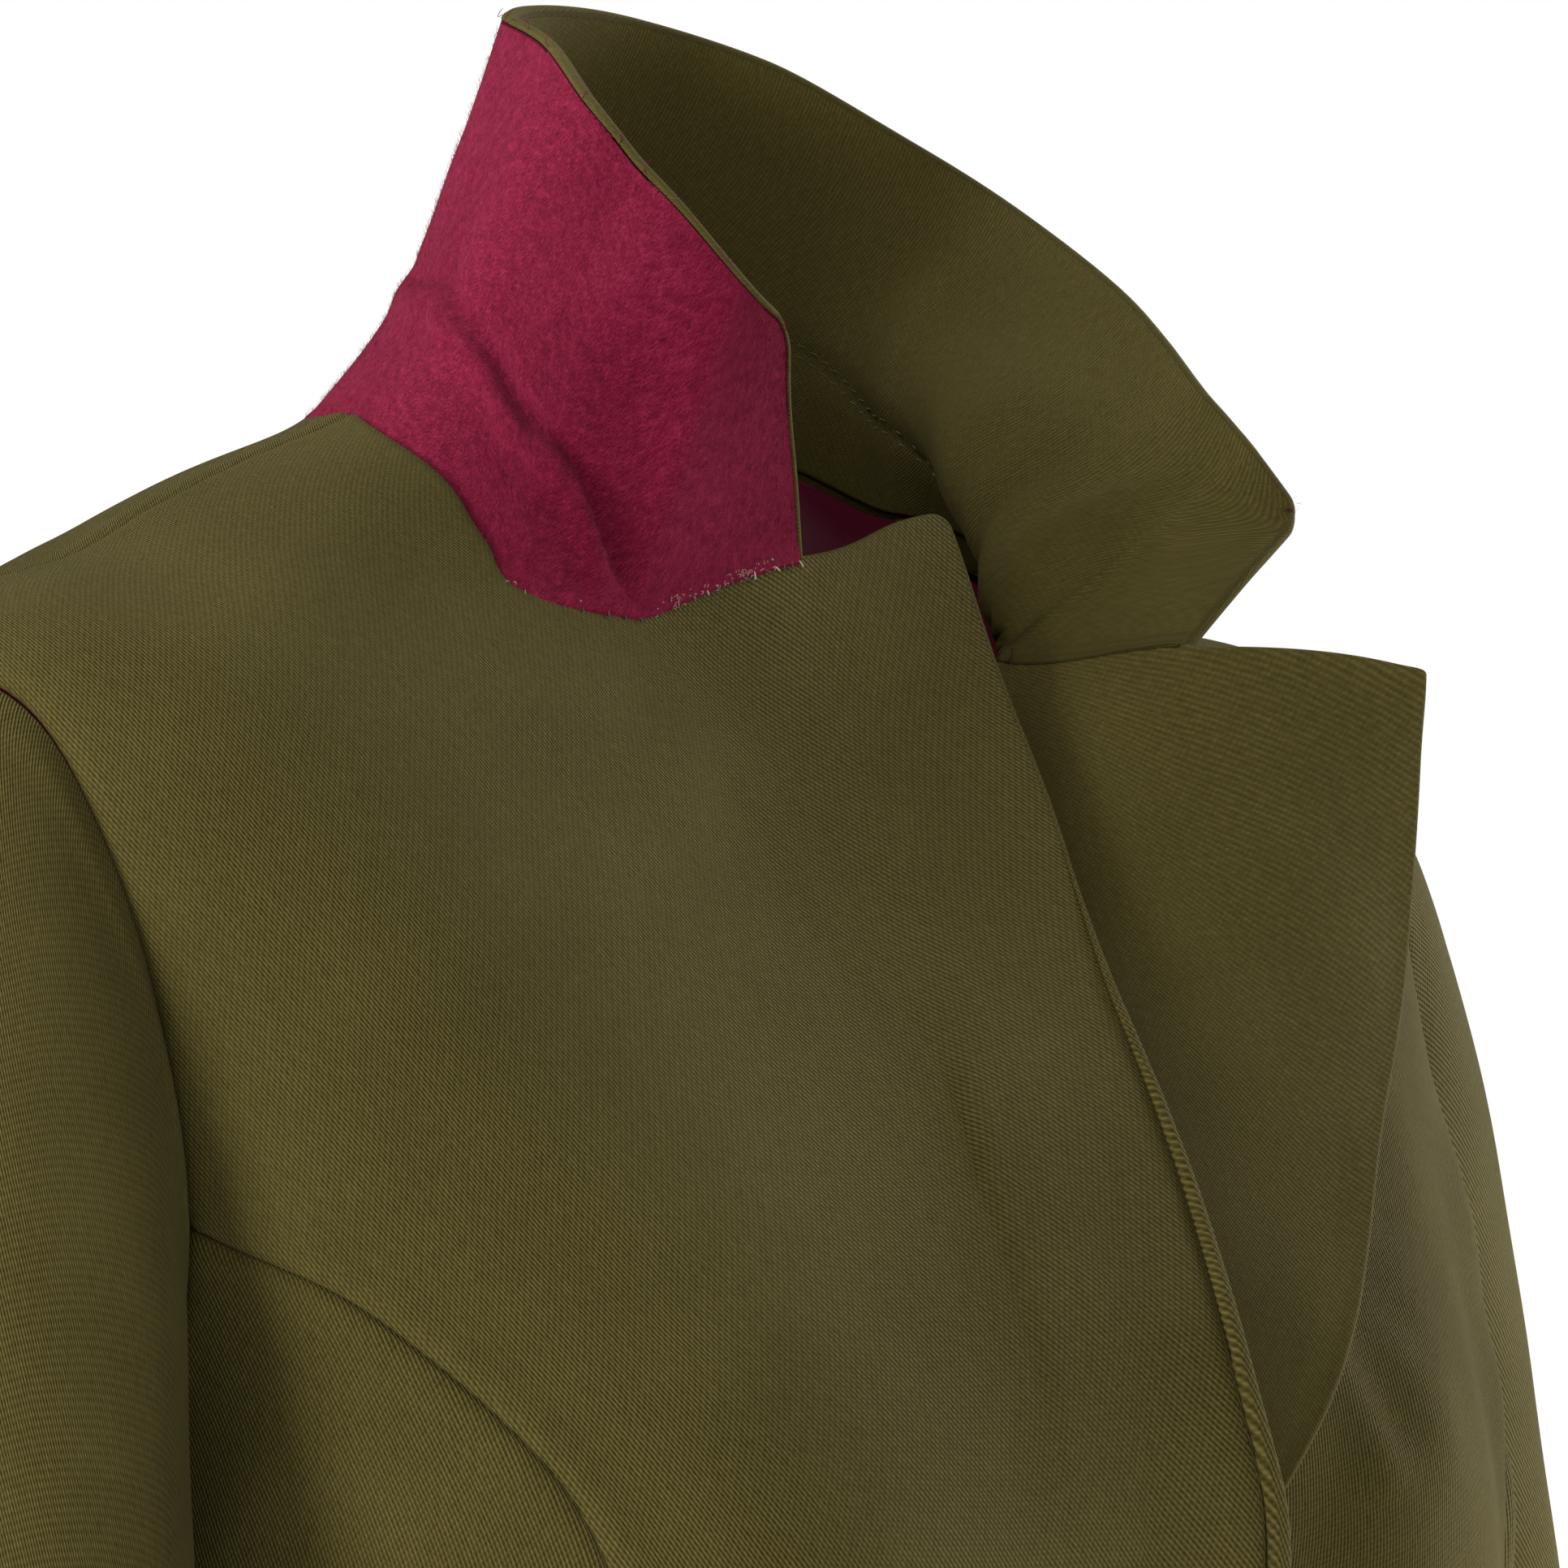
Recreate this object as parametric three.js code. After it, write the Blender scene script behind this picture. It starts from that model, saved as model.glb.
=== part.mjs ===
// A fitted single-breasted blazer in cotton twill, open at the neck, with its collar turned up.
// Sizes are in millimetres. The origin is the middle of the neck, between the two points
// where a shoulder seam meets the collar. X runs to the wearer's left, Y to the back, Z up.

import * as THREE from 'three';

const CLOTH = 1.6;          // wall of the outer cloth
const SLEEVE_CLOTH = 1.5;   // wall of a sleeve
const COLLAR_LAYER = 1.4;   // wall of one layer of the collar
const LINING = 1.0;         // wall of the back lining
const SEAM_GAP = 0.5;       // clear width left along a seam
const LAYER_GAP = 0.5;      // clear height between two layers
const LINING_DEPTH = 3.6;   // middle of the lining, measured in from the middle of the back
const LEFT_DROP = 10;       // how far the left side of the neck is pulled down
const BUTTON_RADIUS = 10;
const BUTTON_THICK = 3.2;
const BUTTON_HOLE_RADIUS = 0.95;
const BUTTON_HOLE_REACH = 2.1;
const BUTTON_LEVELS = [3.82, 2.62];   // rings of the body at which the buttons sit

// The body is a stack of rings. Each ring is an egg shape: half width at the side, depth to
// the front and to the back of its middle, and a power that sets how square it is.
const RINGS = [
  // frontZ, sideZ, backZ, half, front, back, middle, frontPower, backPower
  [-610, -610, -610, 178, 114, 114, 6, 2.4, 2.4],   // 0 hem
  [-516, -516, -516, 170, 110, 108, 5, 2.4, 2.4],   // 1 hips
  [-442, -442, -442, 148, 106, 90, 4, 2.5, 2.3],    // 2
  [-368, -368, -368, 132, 106, 76, 2, 2.6, 2.3],    // 3 waist
  [-304, -304, -304, 142, 120, 76, 0, 2.8, 2.3],    // 4
  [-235, -235, -235, 154, 134, 80, 0, 3.1, 2.4],    // 5 bust
  [-189, -186, -186, 159, 132, 84, 2, 3.1, 2.4],    // 6 under the arm
  [-138, -115, -124, 168, 109, 82, 4, 2.9, 2.4],    // 7
  [-92, -49, -57, 181, 76, 74, 4, 2.4, 2.3],        // 8 end of the shoulder
  [-57, -22, -20, 126, 56, 65, 2, 2.3, 2.2],        // 9 middle of the shoulder
  [-24, 0, 12, 72, 46, 55, 0, 2.3, 1.9],            // 10 neck
  [-2, 20, 32, 62, 40, 47, 0, 2.3, 1.9],            // 11 above the neck
];
const BUST = { x: 80, z: -240, height: 12, wide: 38, above: 54, below: 44 };

// Lines on the body. Angle is counted from the front towards the side the panel is on,
// level is the ring number, and lift is the height of the cloth above the body.
const ARMHOLE = [
  // angle, level
  [90, 8], [84, 7.95], [78.5, 7.8], [74.5, 7.5], [71.6, 7.08], [70, 6.5], [73.5, 6.05],
  [82, 5.8], [97, 5.74], [105, 5.98], [109.5, 6.4], [110, 6.9], [106.5, 7.4], [99, 7.8],
];
const PRINCESS_AT = 5;      // the armhole row where the princess seam starts
const SIDE_AT = 8;          // the armhole row where the side seam starts
const GORGE_AT = 2;         // the armhole row level with the top of the lapel
const PRINCESS = [
  // angle, level
  [41, 0], [41, 1], [40.5, 2], [40.5, 3], [41, 4], [43.5, 5], [47.6, 5.79], [57.6, 6.28], [70, 6.5],
];
const SIDE_SEAM = [[97, 0], [97, 5.74]];
const NECK = [
  // angle, level: from the top of the roll line, round the corner, to the shoulder seam
  [41.5, 9.12], [55, 8.9], [60.5, 9.16], [69, 9.55], [90, 10],
];
// The right front is turned back nowhere: its lapel stands flat, beyond the line where it
// would fold, and lies over the left front.
const RIGHT_FOLD = [
  // angle, level
  [10, 0], [10, 1], [10, 2], [10, 3], [9.5, 4], [9, 4.9], [9, 5.6], [9, 6.2],
  [9.5, 6.75], [9.3, 7.35], [20, 8.15], [41.5, 9.12],
];
const RIGHT_EDGE = [
  // angle, level, lift
  [-9.6, 0, 2.6], [-9.8, 1, 2.6], [-10.2, 2, 2.6], [-10.2, 3, 2.6], [-10, 4, 3],
  [-13, 4.85, 5], [-13.2, 5.5, 6.8], [-11.7, 6.1, 9], [-13.6, 6.68, 9], [-17.2, 7.32, 9],
  [-28.8, 8.3, 9], [-43, 9.92, 4.5],
];
const RIGHT_LAPEL_TOP = [
  // angle, level, lift: the row with angle 3.4 is the notch
  [41.5, 9.12, 0], [29, 9.53, 2], [16, 9.8, 3], [3.4, 9.94, 3],
  [-12, 10, 3.5], [-28, 10.03, 4], [-43, 9.92, 4.5],
];
// The left front folds along its roll line, and the lapel lies back over the chest.
const LEFT_ROLL = [
  // angle, level, lift of the front, lift of the lapel
  [-9.6, 0, -2.6, 0], [-9.8, 1, -2.6, 0], [-10, 2, -2.6, 0], [-10, 3, -2.6, 0],
  [-9.5, 4, -3.4, -0.6], [-2.5, 4.85, -5.2, -1.8], [1.8, 5.55, -5.4, -1.4],
  [4.6, 6.1, -5.6, -1.2], [8.5, 6.68, -5.8, -1], [14.5, 7.35, -6, -0.8],
  [26, 8.22, -6, -0.2], [41.5, 9.12, -6, 0.6],
];
const LEFT_LAPEL_EDGE = [
  // row of LEFT_ROLL, angle, level, lift
  [4.5, -2.2, 4.6, -1.4], [5, 4.5, 5.0, 0.4], [6, 14.2, 5.68, 3.4], [7, 22, 6.15, 5.2],
  [8, 34, 6.76, 8.4], [9, 46.5, 7.27, 16.5], [10, 55.5, 7.72, 30], [11, 58.3, 7.93, 38],
];
const LAPEL_FROM = 4.5;     // the row of LEFT_ROLL at which the fold begins

// The collar, in sections counted from the right notch, round the back, to the left notch.
// Each section rises from the neck seam by its stand to the crease, then on to the edge.
const COLLAR = [
  // section, standX, standY, standZ, edgeX, edgeY, edgeZ
  [0, 0, 0, 0, -11, -54, 19],
  [3, 0, 0, 0, -24, -56, 27],
  [4, 17, 5, 28, -33, -50, 40],
  [5, 17, 6, 27, -35, -38, 51],
  [6, 19, 6, 26, -34, -26, 62],
  [7, 22, 0, 25, -22, 0, 77],
  [9, 29, 3, 28, -1, 38, 89],
  [13, 9, 5, 29, 41, 54, 94],
  [16, 6, 3, 30, 75, 44, 86],
  [17.67, 7, 4, 28, 96, 26, 71],
  [19, 0, 6, 22, 110.8, 8, 55.8],
  [20, -15, 7, 14, 111, -22, 36.6],
  [21, -18, 8, 13, 109, -38, 25],
  [22, -17, 7, 11, 106, -52, 13.5],
  [22.5, -9, 3, 6, 107, -58.5, 7],
  [23, 0, 0, 0, 107.5, -65, 0.4],
  [27, 0, 0, 0, 113, -73, -12.5],
];
const FELT_LIFT = 1.8;      // the under collar starts this far above the neck seam
const UPPER_LIFT = 0.6;     // the upper collar starts this far above the neck seam

// How far round the arm each row of the armhole runs, from the outside over the front.
const ARM_TURN = [0, 22, 45, 68, 90, 113, 138, 159, 180, 204, 229, 255, 286, 324];
const SLEEVE_FRONT_AT = 6;  // the armhole row of the front sleeve seam
const SLEEVE_BACK_AT = 11;  // the armhole row of the back sleeve seam
const RIGHT_ARM = [
  // z, middle out, middle back, inward, outward, forward, backward
  [-236, 191, -29, 29, 43, 59, 55],
  [-290, 195, -36, 29, 41, 53, 51],
  [-360, 200, -48, 30, 37, 48, 47],
  [-440, 204, -66, 30, 34, 44, 43],
  [-520, 207, -84, 30, 32, 42, 41],
  [-588, 209, -98, 30, 31, 41, 40],
];
const LEFT_ARM = [
  // z, middle out, middle back, inward, outward, forward, backward
  [-236, 192, 4, 31, 44, 57, 54],
  [-290, 203, -2, 31, 41, 53, 51],
  [-360, 211, -13, 31, 37, 48, 47],
  [-440, 216, -30, 30, 34, 44, 43],
  [-520, 219, -48, 30, 32, 42, 41],
  [-588, 221, -62, 30, 31, 41, 40],
];
const SLEEVE_LIFT = 1.6;    // the sleeve starts this far outside the armhole seam

const OLIVE = { color: 0x4b4627, roughness: 0.9, metalness: 0 };
const FELT = { color: 0x8b2142, roughness: 1, metalness: 0 };
const SATIN = { color: 0x4a0a1c, roughness: 0.5, metalness: 0 };
const HORN = { color: 0x2a2417, roughness: 0.35, metalness: 0 };

const smooth = (v) => {
  const c = Math.min(1, Math.max(0, v));
  return c * c * (3 - 2 * c);
};

// A smooth curve through the rows of a table, one unit from each row to the next.
function spline(rows, at) {
  const last = rows.length - 1;
  const t = Math.min(last, Math.max(0, at));
  const i = Math.min(last - 1, Math.floor(t));
  const f = t - i;
  return rows[0].map((_, k) => {
    const b = rows[i][k];
    const c = rows[i + 1][k];
    const a = i > 0 ? rows[i - 1][k] : 2 * b - c;
    const d = i + 2 <= last ? rows[i + 2][k] : 2 * c - b;
    const m = (c - a) / 2;
    const n = (d - b) / 2;
    const ff = f * f;
    const fff = ff * f;
    return (2 * fff - 3 * ff + 1) * b + (fff - 2 * ff + f) * m
      + (3 * ff - 2 * fff) * c + (fff - ff) * n;
  });
}

// The same through rows whose first column says where each one stands.
function placed(rows, at) {
  const last = rows.length - 1;
  const t = Math.min(rows[last][0], Math.max(rows[0][0], at));
  let i = 0;
  while (i < last - 1 && rows[i + 1][0] < t) i += 1;
  const span = rows[i + 1][0] - rows[i][0];
  const f = (t - rows[i][0]) / span;
  const slope = (j, k) => {
    const lo = Math.max(0, j - 1);
    const hi = Math.min(last, j + 1);
    return (rows[hi][k] - rows[lo][k]) / (rows[hi][0] - rows[lo][0]);
  };
  const ff = f * f;
  const fff = ff * f;
  return rows[0].slice(1).map((_, j) => {
    const k = j + 1;
    return (2 * fff - 3 * ff + 1) * rows[i][k] + (fff - 2 * ff + f) * slope(i, k) * span
      + (3 * ff - 2 * fff) * rows[i + 1][k] + (fff - ff) * slope(i + 1, k) * span;
  });
}

// A point on the body. The angle is positive on the wearer's left.
function body(angle, level, drop) {
  const [zf, zs, zb, half, front, back, middle, pf, pb] = spline(RINGS, level);
  const a = THREE.MathUtils.degToRad(angle);
  const s = Math.sin(a);
  const c = Math.cos(a);
  const power = c > 0 ? pf : pb;
  const depth = c > 0 ? front + middle : back - middle;
  const r = ((Math.abs(s) / half) ** power + (Math.abs(c) / depth) ** power) ** (-1 / power);
  const x = r * s;
  let y = middle - r * c;
  let z = zs + (c > 0 ? zf - zs : zb - zs) * c * c;
  z -= drop * smooth((32 - y) / 32) * smooth((x + 20) / 80) * smooth((level - 8) / 2);
  const up = z - BUST.z;
  const tall = up > 0 ? BUST.above : BUST.below;
  const side = (Math.abs(x) - BUST.x) / BUST.wide;
  y -= BUST.height * Math.exp(-side * side / 2 - (up / tall) ** 2 / 2)
    * Math.min(1, Math.max(0, c * 2.2));
  return new THREE.Vector3(x, y, z);
}

// A point lifted off the body, straight out from it.
function lay(angle, level, lift, drop = 0) {
  const p = body(angle, level, drop);
  if (!lift) return p;
  const a = body(angle + 0.5, level, drop).sub(body(angle - 0.5, level, drop));
  const b = body(angle, level + 0.02, drop).sub(body(angle, level - 0.02, drop));
  return p.addScaledVector(a.cross(b).normalize(), lift);
}

function armhole(at) {
  const rows = [...ARMHOLE, ARMHOLE[0], ARMHOLE[1]];
  return spline([ARMHOLE[ARMHOLE.length - 1], ...rows], at + 1);
}

// Samples of a curve from one place to another, in a number of equal steps.
function steps(curve, from, to, cells) {
  return Array.from({ length: cells + 1 }, (_, i) => curve(from + (to - from) * i / cells));
}

const rise = (row) => [row[0], row[1], row[2] ?? 0];

// Fills four edges given as rows of angle, level and lift. Across runs from left to right.
function fill(bottom, top, left, right) {
  const n = bottom.length - 1;
  const m = left.length - 1;
  return left.map((_, j) => bottom.map((__, i) => {
    const u = i / n;
    const v = j / m;
    return [0, 1, 2].map((k) => (1 - v) * bottom[i][k] + v * top[i][k]
      + (1 - u) * left[j][k] + u * right[j][k]
      - (1 - u) * (1 - v) * bottom[0][k] - u * (1 - v) * bottom[n][k]
      - (1 - u) * v * top[0][k] - u * v * top[n][k]);
  }));
}

function line(a, b, cells) {
  return steps((t) => [0, 1, 2].map((k) => a[k] + (b[k] - a[k]) * t), 0, 1, cells);
}

// A sheet is a set of points and four-cornered cells. Grids that share points are joined.
function sheet(grids) {
  const points = [];
  const known = new Map();
  const cells = [];
  const put = (p) => {
    const key = [p.x, p.y, p.z].map((v) => Math.round(v * 500)).join(' ');
    if (!known.has(key)) {
      known.set(key, points.length);
      points.push(p.clone());
    }
    return known.get(key);
  };
  for (const grid of grids) {
    const ids = grid.map((row) => row.map(put));
    for (let j = 0; j + 1 < ids.length; j += 1) {
      for (let i = 0; i + 1 < ids[j].length; i += 1) {
        cells.push([ids[j][i], ids[j][i + 1], ids[j + 1][i + 1], ids[j + 1][i]]);
      }
    }
  }
  return { points, cells };
}

// Turns a sheet into a wall between two heights along its own outward direction, and draws
// its edges in by half a seam gap. The facing point says which side is outward.
function wall(name, look, flat, low, high, facing, inset = SEAM_GAP / 2) {
  const tris = [];
  for (const [a, b, c, d] of flat.cells) {
    if (a !== b && b !== c && a !== c) tris.push([a, b, c]);
    if (a !== c && c !== d && a !== d) tris.push([a, c, d]);
  }
  const normals = flat.points.map(() => new THREE.Vector3());
  const e = new THREE.Vector3();
  const g = new THREE.Vector3();
  let sign = 0;
  for (const [a, b, c] of tris) {
    e.subVectors(flat.points[b], flat.points[a]);
    g.subVectors(flat.points[c], flat.points[a]);
    const n = e.clone().cross(g);
    for (const k of [a, b, c]) normals[k].add(n);
    sign += n.dot(facing(flat.points[a]));
  }
  if (sign < 0) {
    for (const t of tris) t.reverse();
    for (const n of normals) n.negate();
  }
  for (const n of normals) n.normalize();
  const open = new Map();
  for (const [a, b, c] of tris) {
    for (const [p, q] of [[a, b], [b, c], [c, a]]) {
      if (open.has(`${q} ${p}`)) open.delete(`${q} ${p}`);
      else open.set(`${p} ${q}`, [p, q]);
    }
  }
  const pull = new Map();
  for (const [p, q] of open.values()) {
    const along = new THREE.Vector3().subVectors(flat.points[q], flat.points[p]);
    for (const k of [p, q]) {
      const inward = normals[k].clone().cross(along).normalize();
      if (!pull.has(k)) pull.set(k, []);
      pull.get(k).push(inward);
    }
  }
  const placedPoints = flat.points.map((p, k) => {
    const moved = p.clone();
    if (pull.has(k)) {
      const sum = new THREE.Vector3();
      for (const v of pull.get(k)) sum.add(v);
      sum.normalize();
      const reach = Math.max(0.6, sum.dot(pull.get(k)[0]));
      moved.addScaledVector(sum, inset / reach);
    }
    return moved;
  });
  const count = placedPoints.length;
  const position = [];
  for (const h of [high, low]) {
    placedPoints.forEach((p, k) => {
      position.push(p.x + normals[k].x * h, p.y + normals[k].y * h, p.z + normals[k].z * h);
    });
  }
  const index = [];
  for (const [a, b, c] of tris) {
    index.push(a, b, c, a + count, c + count, b + count);
  }
  for (const [p, q] of open.values()) {
    index.push(q, p, p + count, q, p + count, q + count);
  }
  const shape = new THREE.BufferGeometry();
  shape.setAttribute('position', new THREE.Float32BufferAttribute(position, 3));
  shape.setIndex(index);
  shape.computeVertexNormals();
  const mesh = new THREE.Mesh(shape, new THREE.MeshStandardMaterial(look));
  mesh.name = name;
  return mesh;
}

const fromMiddle = (p) => new THREE.Vector3(p.x, p.y, 0);
const half = CLOTH / 2;

// Rows of the front's outer edge: up the princess seam, then up the armhole.
const PRINCESS_CELLS = 16;
const princessEdge = () => steps((t) => rise(spline(PRINCESS, t)), 0, 8, PRINCESS_CELLS);
const frontArm = () => steps((t) => rise(armhole(t)), PRINCESS_AT, GORGE_AT, 6);
const frontOuter = () => [...princessEdge(), ...frontArm().slice(1)];
// The same stations on a table of twelve rows that runs beside it.
const stations = (curve) => [
  ...steps(curve, 0, 8, PRINCESS_CELLS), ...steps(curve, 8, 11, 6).slice(1),
];
const FRONT_CELLS = 8;
const shoulderSeam = (cells) => line([90, 8, 0], [90, 10, 0], cells);

function project(grid, side, drop = 0) {
  return grid.map((row) => row.map(([a, l, o]) => lay(a * side, l, o, drop)));
}

function upperFront(level, side, drop, inner) {
  const top = shoulderSeam(FRONT_CELLS);
  const left = steps((t) => rise(armhole(t)), GORGE_AT, 0, 4);
  return project(fill(level, top, left, inner), side, drop);
}

function rightFront() {
  const outer = frontOuter();
  const fold = stations((t) => rise(spline(RIGHT_FOLD, t)));
  const edge = stations((t) => spline(RIGHT_EDGE, t));
  const level = line(outer[outer.length - 1], fold[fold.length - 1], FRONT_CELLS);
  const chest = fill(line(outer[0], fold[0], FRONT_CELLS), level, outer, fold);
  const lapel = fill(line(fold[0], edge[0], 6), RIGHT_LAPEL_TOP, fold, edge);
  const neck = NECK.map(rise);
  const grids = [project(chest, -1), project(lapel, -1), upperFront(level, -1, 0, neck)];
  return wall('right_front', OLIVE, sheet(grids), -half, half, fromMiddle);
}

// The inner edge of the left front lies under the right one.
function leftFront() {
  const outer = frontOuter();
  const inner = stations((t) => {
    const [a, l, o] = spline(LEFT_ROLL, t);
    return [a, l, o];
  });
  const end = inner[inner.length - 1];
  const level = line(outer[outer.length - 1], end, FRONT_CELLS);
  const chest = fill(line(outer[0], inner[0], FRONT_CELLS), level, outer, inner);
  const under = (grid) => grid.map((row) => row.map(([a, l, o], i) => {
    const across = i / FRONT_CELLS;
    const own = across > 0 ? o / across : 0;
    return [a, l, own * smooth((across - 0.33) / 0.29)];
  }));
  const neck = [end, [55, 8.9, -2.2], [60.5, 9.16, 0], [69, 9.55, 0], [90, 10, 0]];
  const upper = fill(level, shoulderSeam(FRONT_CELLS),
    steps((t) => rise(armhole(t)), GORGE_AT, 0, 4), neck);
  const lowered = upper.map((row, j) => row.map(([a, l, o], i) => {
    const across = i / FRONT_CELLS;
    const own = across > 0 ? o / across : 0;
    const bent = own * smooth((across - 0.33) / 0.29);
    return [a, l, i === FRONT_CELLS ? o : bent * (1 - j / 4)];
  }));
  const grids = [project(under(chest), 1, LEFT_DROP), project(lowered, 1, LEFT_DROP)];
  return wall('left_front', OLIVE, sheet(grids), -half, half, fromMiddle);
}

// The turned part of the left front: round the roll line, then flat out to the lapel edge.
const TURN_CELLS = 4;
const LAPEL_CELLS = 7;
function leftLapelRows() {
  const all = [
    ...steps((t) => t, 0, 8, PRINCESS_CELLS), ...steps((t) => t, 8, 11, 6).slice(1),
  ];
  return all.filter((t) => t >= LAPEL_FROM - 1e-6).map((t) => {
    const [angle, level, below, above] = spline(LEFT_ROLL, t);
    const [edgeAngle, edgeLevel, edgeLift] = placed(LEFT_LAPEL_EDGE, t);
    const radius = (above - below) / 2;
    const middle = lay(angle, level, (above + below) / 2, LEFT_DROP);
    const out = lay(angle, level, above, LEFT_DROP).sub(middle).normalize();
    const away = body(angle - 0.5, level, LEFT_DROP).sub(body(angle, level, LEFT_DROP));
    away.normalize();
    const row = [];
    for (let i = 0; i < TURN_CELLS; i += 1) {
      const a = Math.PI * (i + 0.1) / TURN_CELLS;
      row.push(middle.clone().addScaledVector(out, -radius * Math.cos(a))
        .addScaledVector(away, radius * Math.sin(a)));
    }
    for (let i = 0; i <= LAPEL_CELLS; i += 1) {
      const u = i / LAPEL_CELLS;
      row.push(lay(angle + (edgeAngle - angle) * u, level + (edgeLevel - level) * u,
        above + (edgeLift - above) * u ** 1.25, LEFT_DROP));
    }
    return row;
  });
}

function leftLapel() {
  return wall('left_lapel', OLIVE, sheet([leftLapelRows()]), -half, half, fromMiddle);
}

function sideFront(name, side, drop) {
  const inner = princessEdge();
  const seam = steps((t) => rise(spline(SIDE_SEAM, t)), 0, 1, PRINCESS_CELLS);
  const top = steps((t) => rise(armhole(t)), PRINCESS_AT, SIDE_AT, 6);
  const grid = fill(line(inner[0], seam[0], 6), top, inner, seam);
  return wall(name, OLIVE, sheet([project(grid, side, drop)]), -half, half, fromMiddle);
}

const NECK_CELLS = 6;
function backGrid(side, drop, lift) {
  const outer = [
    ...steps((t) => rise(spline(SIDE_SEAM, t)), 0, 1, PRINCESS_CELLS),
    ...steps((t) => rise(armhole(t)), SIDE_AT, ARMHOLE.length, 12).slice(1),
    ...shoulderSeam(FRONT_CELLS).slice(1),
  ];
  const grid = outer.map(([a, l]) => line([a, l, lift], [180, l, lift], NECK_CELLS));
  return project(grid, side, drop);
}

function back(name, side, drop) {
  return wall(name, OLIVE, sheet([backGrid(side, drop, 0)]), -half, half, fromMiddle);
}

// One loose layer inside both backs, drawn in a little from every seam.
function backLining() {
  const right = backGrid(-1, 0, -LINING_DEPTH);
  const turned = right[0].map((_, i) => right.map((row) => row[i]));
  const grids = [turned, backGrid(1, LEFT_DROP, -LINING_DEPTH)];
  return wall('back_lining', SATIN, sheet(grids), -LINING / 2, LINING / 2, fromMiddle, 2.2);
}

// Points of the neck seam, one to each section of the collar.
function neckSeam() {
  const right = RIGHT_LAPEL_TOP.slice(1, 4).reverse().map(([a, l, o]) => lay(-a, l, o));
  const rightNeck = NECK.map(([a, l]) => lay(-a, l, 0));
  const behind = line([90, 10, 0], [180, 10, 0], NECK_CELLS).slice(1);
  const rightBack = behind.map(([a, l]) => lay(-a, l, 0));
  const leftBack = behind.slice(0, -1).reverse().map(([a, l]) => lay(a, l, 0, LEFT_DROP));
  const leftNeck = NECK.slice(1).reverse().map(([a, l]) => lay(a, l, 0, LEFT_DROP));
  const turned = leftLapelRows().pop().slice(TURN_CELLS, TURN_CELLS + 5);
  const all = [...right, ...rightNeck, ...rightBack, ...leftBack, ...leftNeck, ...turned];
  const seam = all.map((point, at) => ({ at, point }));
  for (const at of [22, 3]) {
    seam.splice(at + 1, 0, { at: at + 0.5, point: all[at].clone().lerp(all[at + 1], 0.5) });
  }
  return seam;
}

// A section of the collar: a smooth curve through seam, crease and edge.
function collarSection(seam, at, lift, cells) {
  const [sx, sy, sz, ex, ey, ez] = placed(COLLAR, at);
  const flat = at <= 3 || at >= 23;
  const stand = flat ? new THREE.Vector3() : new THREE.Vector3(sx, sy, sz);
  const crease = seam.clone().add(stand);
  const edge = new THREE.Vector3(ex, ey, ez);
  const s = stand.length();
  const fall = edge.clone().sub(crease);
  const f = fall.length();
  fall.divideScalar(f);
  const up = s > 1e-3 ? stand.clone().divideScalar(s) : fall.clone();
  const bend = up.clone().multiplyScalar(f).addScaledVector(fall, s).normalize();
  const hermite = (p, a, q, b, length, t) => {
    const tt = t * t;
    const ttt = tt * t;
    return p.clone().multiplyScalar(2 * ttt - 3 * tt + 1)
      .addScaledVector(a, (ttt - 2 * tt + t) * length)
      .addScaledVector(q, 3 * tt - 2 * ttt)
      .addScaledVector(b, (ttt - tt) * length);
  };
  const soft = Math.min(5, s / 3);
  const stops = s > 8
    ? [lift, s * 0.45, s - soft, s, s + soft, s + 2.2 * soft]
    : [lift, 0.12 * f, 0.22 * f, 0.32 * f, 0.42 * f, 0.52 * f];
  const runs = [...stops, ...steps((t) => t, stops[5], s + f, cells - 5).slice(1)];
  return runs.map((run) => {
    if (run < s) return hermite(seam, up, crease, bend, s, run / s);
    return hermite(crease, bend, edge, fall, f, (run - s) / f);
  });
}

function collar(name, look, low, high, lift) {
  const grid = neckSeam().map(({ at, point }) => collarSection(point, at, lift, 9));
  const away = (p) => (p.x < -20 ? new THREE.Vector3(-1, 0, 0) : new THREE.Vector3());
  return wall(name, look, sheet([grid]), low, high, away);
}

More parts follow.
